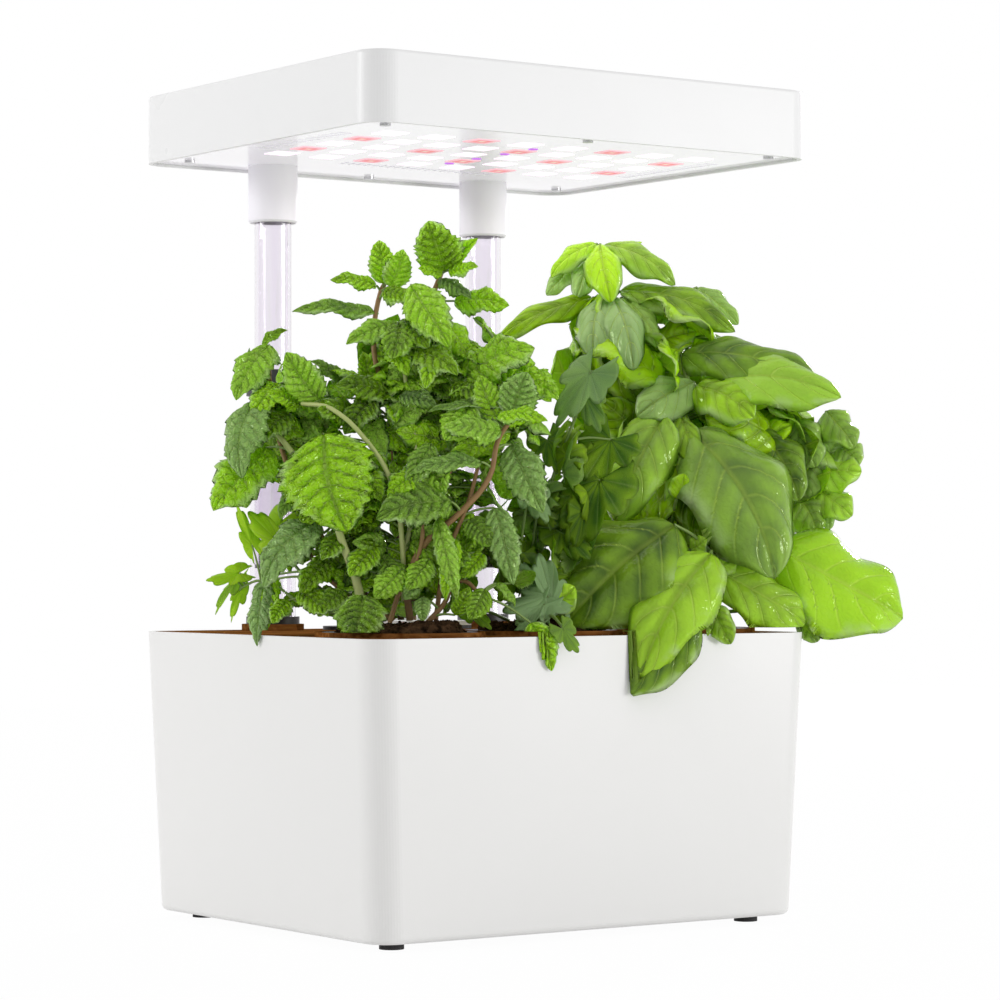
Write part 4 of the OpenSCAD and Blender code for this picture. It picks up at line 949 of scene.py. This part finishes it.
cilantro_rows = [
    (548, 596, 66, 503, 612, 78, 56, -0.2, 0.45, 20, 0, 0.45, 0.9),
    (552, 602, 64, 540, 553, 66, 48, 0.1, 0.35, 15, 0, 0.42, 0.9),
    (545, 600, 60, 512, 560, 62, 40, 0, 0.4, 15, 0, 0.4, 0.9),
    (530, 490, 56, 548, 522, 64, 40, 0.15, 0.35, 20, 0, 0.35, 0.8),
    (544, 605, 70, 515, 632, 80, 34, -0.1, 0.4, 20, 0, 0.42, 0.9),
    (590, 372, 60, 556, 424, 72, 56, -0.2, 0.4, 25, 0, 0.2, 0.5),
    (562, 628, 98, 578, 652, 99, 28, 0.1, 0.3, 15, 0, 0.25, 0.2),
    # these four big lobed leaves get the lowest tones, which are painted deep shade in the middle of the
    # plants
    (600, 480, 50, 569, 545, 60, 84, 0, 0.35, 20, 0, 0.12, 0),
    (610, 440, 44, 585, 480, 52, 70, 0, 0.35, 20, 0, 0.12, 0),
    (560, 530, 50, 590, 560, 56, 50, 0, 0.35, 20, 0, 0.14, 0),
    (548, 440, 46, 559, 470, 54, 44, 0, 0.35, 20, 0, 0.1, 0),
    (470, 610, 60, 492, 628, 66, 26, 0, 0.4, 20, 0, 0.35, 0.1),
    (585, 395, 52, 600, 430, 60, 44, 0.1, 0.35, 20, 0, 0.14, 0.2),
]
cilantro_stems = [
    (1.1, 0.7, ((534, 622, 42), (542, 608, 50), (548, 598, 56))),
    (1.1, 0.7, ((526, 621, 38), (520, 562, 46), (528, 495, 52))),
    (1.2, 0.7, ((530, 621, 30), (546, 505, 42), (575, 420, 50), (592, 370, 56))),
    (1.1, 0.7, ((540, 623, 46), (552, 616, 76), (562, 626, 92))),
    (1.1, 0.7, ((544, 621, 30), (576, 540, 38), (602, 480, 46))),
    (1, 0.6, ((508, 621, 34), (488, 611, 50), (470, 608, 58))),
    (1, 0.6, ((522, 621, 34), (534, 540, 42), (548, 445, 44))),
]
cilantro_masses = [(-4, 18, 18, 26, 26, 17), (17, 16, 68, 20, 18, 46), (-14, 10, 42, 20, 18, 34)]
cilantro_leaf = leaf_finish(
    "cilantro_leaf", dark=(0.034, 0.105, 0.004), bright=(0.52, 0.80, 0.020), vein=(0.56, 0.70, 0.22),
    under=(0.30, 0.44, 0.13), grey=(0.34, 0.50, 0.28), sunlit=(0.52, 0.90, 0.05), roughness=0.5,
    net=1300.0, net_share=0.6, crinkle=0.4, vein_share=0.4, spec=0.3)
plant("left", "side_cilantro", replaced=("side_cilantro_plant",), shape_leaf=fan_shell,
      leaves=set_leaves("left", side_cilantro_rows), inner=[],
      stem_sets=(("stems", side_cilantro_stems, green_stalk),), finish=cilantro_leaf,
      grids=((7, 54), (5, 30)), seed=12, stalk=(0.6, 0.45))
cilantro_fill = filler_leaves("centre", cilantro_masses, count=40, draw=random.Random(9),
                              long=(16, 26), wide=(0.9, 1.1), tones=(0.1, 0.4))
plant("centre", "cilantro", replaced=("cilantro_plant",), shape_leaf=fan_shell,
      leaves=set_leaves("centre", cilantro_rows), inner=cilantro_fill,
      stem_sets=(("stems", cilantro_stems, green_stalk),), finish=cilantro_leaf,
      grids=((8, 66), (5, 36)), seed=13, stalk=(0.7, 0.5))

# Basil, in the right pod: broad smooth leaves, domed between the side veins, waxy and glossy
# above and dull below, on thick pale green stems.
BASIL_FORM = (0.50, 0.66, 5, 0.34, 0.075, 0, 0.0, 0.12)
basil_rows = [
    (600, 244, 10, 610, 299, 34, 40, 0, 0.2, 35, 30, 0.95, 0),
    (596, 243, 4, 550, 275, 10, 30, -0.2, 0.6, 50, 25, 0.6, 0.1),
    (590, 255, 0, 576, 297, 16, 30, -0.2, 0.2, 35, 25, 0.5, 0.8),
    (570, 268, 0, 547, 294, 8, 22, -0.2, 0.3, 30, 20, 0.5, 0.8),
    (604, 246, 4, 676, 282, 14, 38, 0.15, 0.6, 55, 25, 0.35, 0.2),
    (602, 250, 0, 641, 240, 0, 16, 0.1, 0.8, 15, 10, 0.9, 0),
    (592, 297, 10, 496, 337, 30, 34, -0.1, 0.6, 30, 20, 0.3, 0),
    (620, 291, 6, 736, 328, 20, 44, 0.1, 0.65, 35, 20, 0.25, 0.1),
    (698, 288, -10, 738, 322, 0, 30, 0.1, 0.5, 30, 20, 0.4, 0.6),
    (606, 297, 18, 592, 354, 44, 50, -0.25, 0.3, 40, 35, 0.5, 0.9),
    (612, 297, 20, 634, 367, 48, 50, 0.2, 0.3, 45, 35, 0.55, 0.9),
    (622, 297, 10, 658, 346, 26, 34, 0.3, 0.35, 35, 25, 0.5, 0.5),
    (650, 346, 6, 696, 330, 10, 36, 0.1, 0.5, 15, 10, 0.6, 0),
    (642, 354, 8, 692, 342, 12, 26, 0.1, 0.5, 10, 5, 0.95, 0),
    (682, 354, 14, 820, 380, 40, 64, 0.05, 0.6, 45, 25, 0.2, 0.15),
    (699, 384, 24, 839, 393, 60, 68, 0.05, 0.5, 35, 25, 0.75, 0.3),
    (697, 386, 34, 754, 416, 54, 56, 0.1, 0.4, 25, 20, 0.5, 0.1),
    (695, 382, 30, 638, 415, 50, 54, -0.15, 0.35, 30, 25, 0.5, 0.7),
    (660, 370, 20, 677, 350, 22, 24, 0.1, 0.3, 15, -10, 0.95, 0),
    (664, 370, 20, 650, 352, 22, 18, -0.1, 0.3, 15, -10, 0.9, 0),
    (664, 414, 44, 615, 520, 66, 68, -0.15, 0.25, 30, 20, 0.45, 0.25),
    (680, 415, 40, 699, 472, 56, 30, 0.2, 0.2, 30, 20, 0.3, 0.1),
    (692, 430, 42, 778, 574, 76, 118, 0.15, 0.35, 35, 20, 0.3, 0.3),
    (690, 438, 30, 702, 546, 56, 62, 0, 0.2, 35, 15, 0.12, 0),
    (674, 524, 78, 560, 626, 102, 122, -0.15, 0.45, 30, 18, 0.2, 0.1),
    (712, 553, 80, 640, 672, 122, 82, -0.15, 0.4, 30, 15, 0.6, 0.15),
    (697, 622, 104, 624, 694, 120, 56, -0.1, 0.25, 20, 15, 0.15, 0.1),
    (718, 570, 64, 809, 622, 46, 64, 0.1, 0.4, 30, 20, 0.5, 0.15),
    (779, 548, 35, 907, 616, 22, 108, 0.15, 0.45, 30, 20, 0.85, 0.1),
    (798, 420, 8, 816, 466, 16, 46, 0.1, 0.3, 30, 20, 0.3, 0.35),
    (826, 410, 0, 856, 446, 8, 42, 0.2, 0.4, 40, 20, 0.35, 0.3),
    (829, 452, 4, 838, 428, 4, 24, 0.2, 0.2, 20, 15, 0.3, 0.6),
    (812, 468, 2, 862, 470, 10, 50, 0.2, 0.4, 30, 20, 0.6, 0.2),
    (811, 452, 6, 806, 500, 12, 46, 0.1, 0.35, 30, 20, 0.35, 0.4),
    (838, 446, 2, 860, 466, 8, 38, 0.2, 0.35, 25, 20, 0.3, 0.3),
    (812, 486, 4, 852, 514, 12, 46, 0.2, 0.35, 30, 20, 0.5, 0.2),
    (796, 492, 10, 818, 534, 16, 50, 0.15, 0.35, 25, 20, 0.3, 0.2),
    (822, 500, 4, 830, 530, 8, 22, 0.3, 0.3, 25, 20, 0.4, 0.6),
    (801, 475, 12, 774, 439, 20, 40, 0.1, 0.2, 20, 15, 0.35, 0.9),
    (742, 447, 14, 792, 424, 20, 36, 0.1, 0.4, 15, 10, 0.85, 0),
    (800, 617, 30, 818, 641, 36, 34, 0.1, 0.3, 20, 10, 0.15, 0.2),
    (712, 606, 84, 731, 643, 88, 30, 0.1, 0.2, 20, 10, 0.3, 0.1),
    (706, 612, 84, 702, 640, 90, 22, -0.1, 0.2, 20, 10, 0.35, 0.2),
    (548, 608, 112, 575, 587, 112, 34, 0.1, 0.3, 10, 5, 0.75, 0.1),
    (676, 498, 60, 684, 474, 62, 26, 0.1, 0.2, 20, 10, 0.8, 0),
    (681, 552, 66, 662, 536, 70, 20, -0.1, 0.4, 15, 10, 0.7, 0.2),
    (690, 550, 66, 706, 538, 70, 20, 0.1, 0.4, 15, 10, 0.6, 0.2),
    (716, 566, 66, 738, 556, 70, 26, 0.1, 0.4, 15, 10, 0.75, 0.2),
    (680, 520, 50, 724, 540, 60, 50, 0.1, 0.4, 20, 15, 0.15, 0),
    (760, 430, 20, 800, 500, 30, 60, 0.2, 0.3, 30, 20, 0.2, 0.1),
    (640, 440, 30, 604, 400, 34, 50, -0.2, 0.4, 25, 20, 0.2, 0),
    (745, 560, 40, 771, 585, 46, 44, 0.1, 0.4, 20, 15, 0.2, 0),
    (639, 360, 14, 668, 420, 24, 40, 0.1, 0.3, 30, 20, 0.2, 0),
    (600, 340, 12, 584, 372, 20, 36, -0.2, 0.4, 30, 20, 0.25, 0),
]
basil_stems = [
    (2.6, 1.6, ((654, 620, 24), (656, 545, 18), (672, 450, 14), (655, 385, 8), (615, 305, 4),
     (603, 250, 0))),
    (2.2, 1.4, ((672, 450, 14), (688, 400, 20), (684, 358, 14))),
    (2.2, 1.4, ((660, 520, 14), (720, 490, 14), (769, 460, 8), (806, 432, 4), (830, 418, 0))),
    (2.2, 1.4, ((656, 604, 26), (690, 582, 40), (730, 565, 38), (776, 550, 34))),
    (2, 1.3, ((664, 620, 30), (663, 576, 36), (670, 534, 42))),
    (2, 1.3, ((680, 560, 40), (705, 552, 56), (712, 553, 62))),
    (1.8, 1.2, ((720, 490, 14), (789, 490, 6), (814, 480, 2))),
    (1.8, 1.2, ((676, 622, 50), (684, 618, 80), (692, 636, 96))),
    (1.8, 1.2, ((655, 540, 14), (690, 470, 24), (698, 436, 30))),
    (1.2, 0.8, ((664, 620, 30), (620, 622, 60), (580, 620, 84), (552, 612, 108))),
]
basil_masses = [(-2, -28, 102, 50, 54, 58), (-41, -27, 158, 34, 32, 36), (53, -40, 90, 30, 34, 38),
                (10, 10, 38, 46, 36, 36), (82, -28, 82, 22, 20, 32)]
basil_leaf = leaf_finish(
    "basil_leaf", dark=(0.014, 0.065, 0.001), bright=(0.56, 0.92, 0.012), vein=(0.76, 0.95, 0.16),
    under=(0.30, 0.48, 0.06), grey=(0.42, 0.60, 0.28), sunlit=(0.66, 0.88, 0.08), roughness=0.13,
    net=300.0, net_share=0.2, crinkle=0.6, vein_share=0.6, spec=0.45)
basil_stem = plastic("basil_stem", (0.22, 0.34, 0.06), (0.30, 0.38, 0.11),
                     0.4, grain=300, depth=0.25, drift=40.0)
basil_fill = filler_leaves("right", basil_masses, count=120, draw=random.Random(21),
                           long=(36, 60), wide=(0.58, 0.74), tones=(0.25, 0.9))
plant("right", "basil", replaced=("basil_plant", "basil_rim_leaves"),
      shape_leaf=partial(leaf_shell, BASIL_FORM), leaves=set_leaves("right", basil_rows), inner=basil_fill,
      stem_sets=(("stems", basil_stems, basil_stem),), finish=basil_leaf,
      grids=((44, 12), (16, 8)), seed=14, stalk=(1.2, 0.9))

# Hood: a shallow box of white ABS, moulded in one piece with rounded corners and a satin face. It
# is open below, where the light panel closes it.
hood_white = plastic("hood_white", (0.825, 0.825, 0.825), (0.81, 0.81, 0.81), 0.3, spec=0.3)
dress(hood_white, "hood_shell")

# Light panel: one sheet of high-gloss white plastic, with windows for the lights and milled
# vent slots. Six steel screws hold it to the hood. A faint emission painted on it stands in for the glow the
# lights throw on it.
panel_white = plastic("panel_white", (0.92, 0.90, 0.96), (0.91, 0.885, 0.95),
                      0.07, grain=300, depth=0.01, drift=6.0, coat=0.25, spec=0.4)
# painted glow: a weak emission on the panel, which is no lamp
fill(panel_white.node_tree, panel_white.node_tree.nodes["Principled BSDF"],
     {"Emission Color": (0.97, 0.93, 1.0), "Emission Strength": 0.13})
dress(panel_white, "light_panel")
dress(steel, "panel_screws")

# Collars: thick plugs of matt white plastic round the tops of the posts. Studs and nuts clamp
# them to the bridge in the hood.
collar_white = plastic("collar_white", (0.92, 0.90, 0.945), (0.90, 0.88, 0.925), 0.5, spec=0.1)
dress(collar_white, "tube_collars")

# Lights: square diffusers set flush in the panel, white ones with red ones among them, and four
# small violet ones on the middle line. The red ones are hottest over their chips.
ROW_PITCH = 0.026
FIRST_ROW_Y = -0.068
RED_CHIP_X = (0.0, 0.042, 0.098)
LENS_HALF_WIDTH = 1 / 140


def chip_glow(tree, deep, centres):
    """Pale over each chip, deep in colour round it, and pale again at the lens's margin. The
    chips stand at these distances from the middle, in rows."""
    axes = tree.nodes.new("ShaderNodeSeparateXYZ")
    fill(tree, axes, {0: own_place(tree)})
    aside = 1.0
    for centre in centres:
        gap = maths(tree, "SUBTRACT", maths(tree, "ABSOLUTE", axes.outputs["X"]), centre)
        aside = maths(tree, "MINIMUM", maths(tree, "ABSOLUTE", gap), aside)
    from_first = maths(tree, "SUBTRACT", axes.outputs["Y"], FIRST_ROW_Y)
    along = maths(tree, "PINGPONG", from_first, ROW_PITCH / 2)
    away = maths(tree, "DIVIDE", maths(tree, "MAXIMUM", aside, along), LENS_HALF_WIDTH)
    return ramp(tree, away, (0.15, (0.87, 0.65, 0.60)), (0.42, deep), (0.80, (0.87, 0.52, 0.58)))


def glowing(name, colour, edge, strength, centres=()):
    """Lit diffuser, a little uneven, or with a glow over each chip where centres are given."""
    material, tree, skin = new_material(name)
    if centres:
        shown = chip_glow(tree, edge, centres)
    else:
        shown = mix(tree, colour, edge, noise(tree, own_place(tree), 130.0))
    fill(tree, skin, {"Base Color": shown, "Emission Color": shown, "Emission Strength": strength,
                      "Roughness": 0.25, "Specular IOR Level": 0.0})
    return material


dress(glowing("white_light", (0.90, 0.82, 0.89), (0.88, 0.73, 0.85), 0.76), "white_lenses")
dress(glowing("red_light", (0.87, 0.42, 0.42), (0.83, 0.23, 0.27), 0.52, RED_CHIP_X), "red_lenses")
dress(glowing("violet_light", (0.64, 0.24, 0.84), (0.54, 0.16, 0.78), 0.5), "violet_lenses")

# Works inside the hood: aluminium board with its chips, heat spreader, bridge plate over the
# posts, green driver board with its parts, inlet, leads and touch switch.
dress(plastic("board_white", (0.72, 0.72, 0.70), (0.66, 0.66, 0.65), 0.4), "led_board")
dress(plastic("chip_white", (0.75, 0.70, 0.42), (0.7, 0.62, 0.3), 0.35), "led_chips")
dress(metal("spreader", (0.75, 0.76, 0.77), 0.38, 60.0), "heat_spreader")
dress(metal("dark_steel", (0.30, 0.30, 0.31), 0.42, 120.0), "tube_bridge")
dress(plastic("board_green", (0.02, 0.16, 0.06), (0.015, 0.12, 0.045),
              0.35, grain=700, depth=0.1), "driver_board")
dress(black_plastic, "driver_parts", "dc_jack", "touch_switch")
dress(steel, "dc_pin")
dress(plastic("lead_red", (0.55, 0.02, 0.02), (0.42, 0.015, 0.015), 0.45), "led_leads")
dress(black_rubber, "tube_end_plugs")
dress(plastic("plunger_cream", (0.7, 0.66, 0.55), (0.62, 0.58, 0.48), 0.45), "switch_plunger")

# Power button: a cap of white plastic that slides in a hole in the hood. It stands a little proud
# of the top and presses the plunger of the switch.
dress(plastic("button_white", (0.78, 0.78, 0.775), (0.75, 0.75, 0.745), 0.3), "power_button")
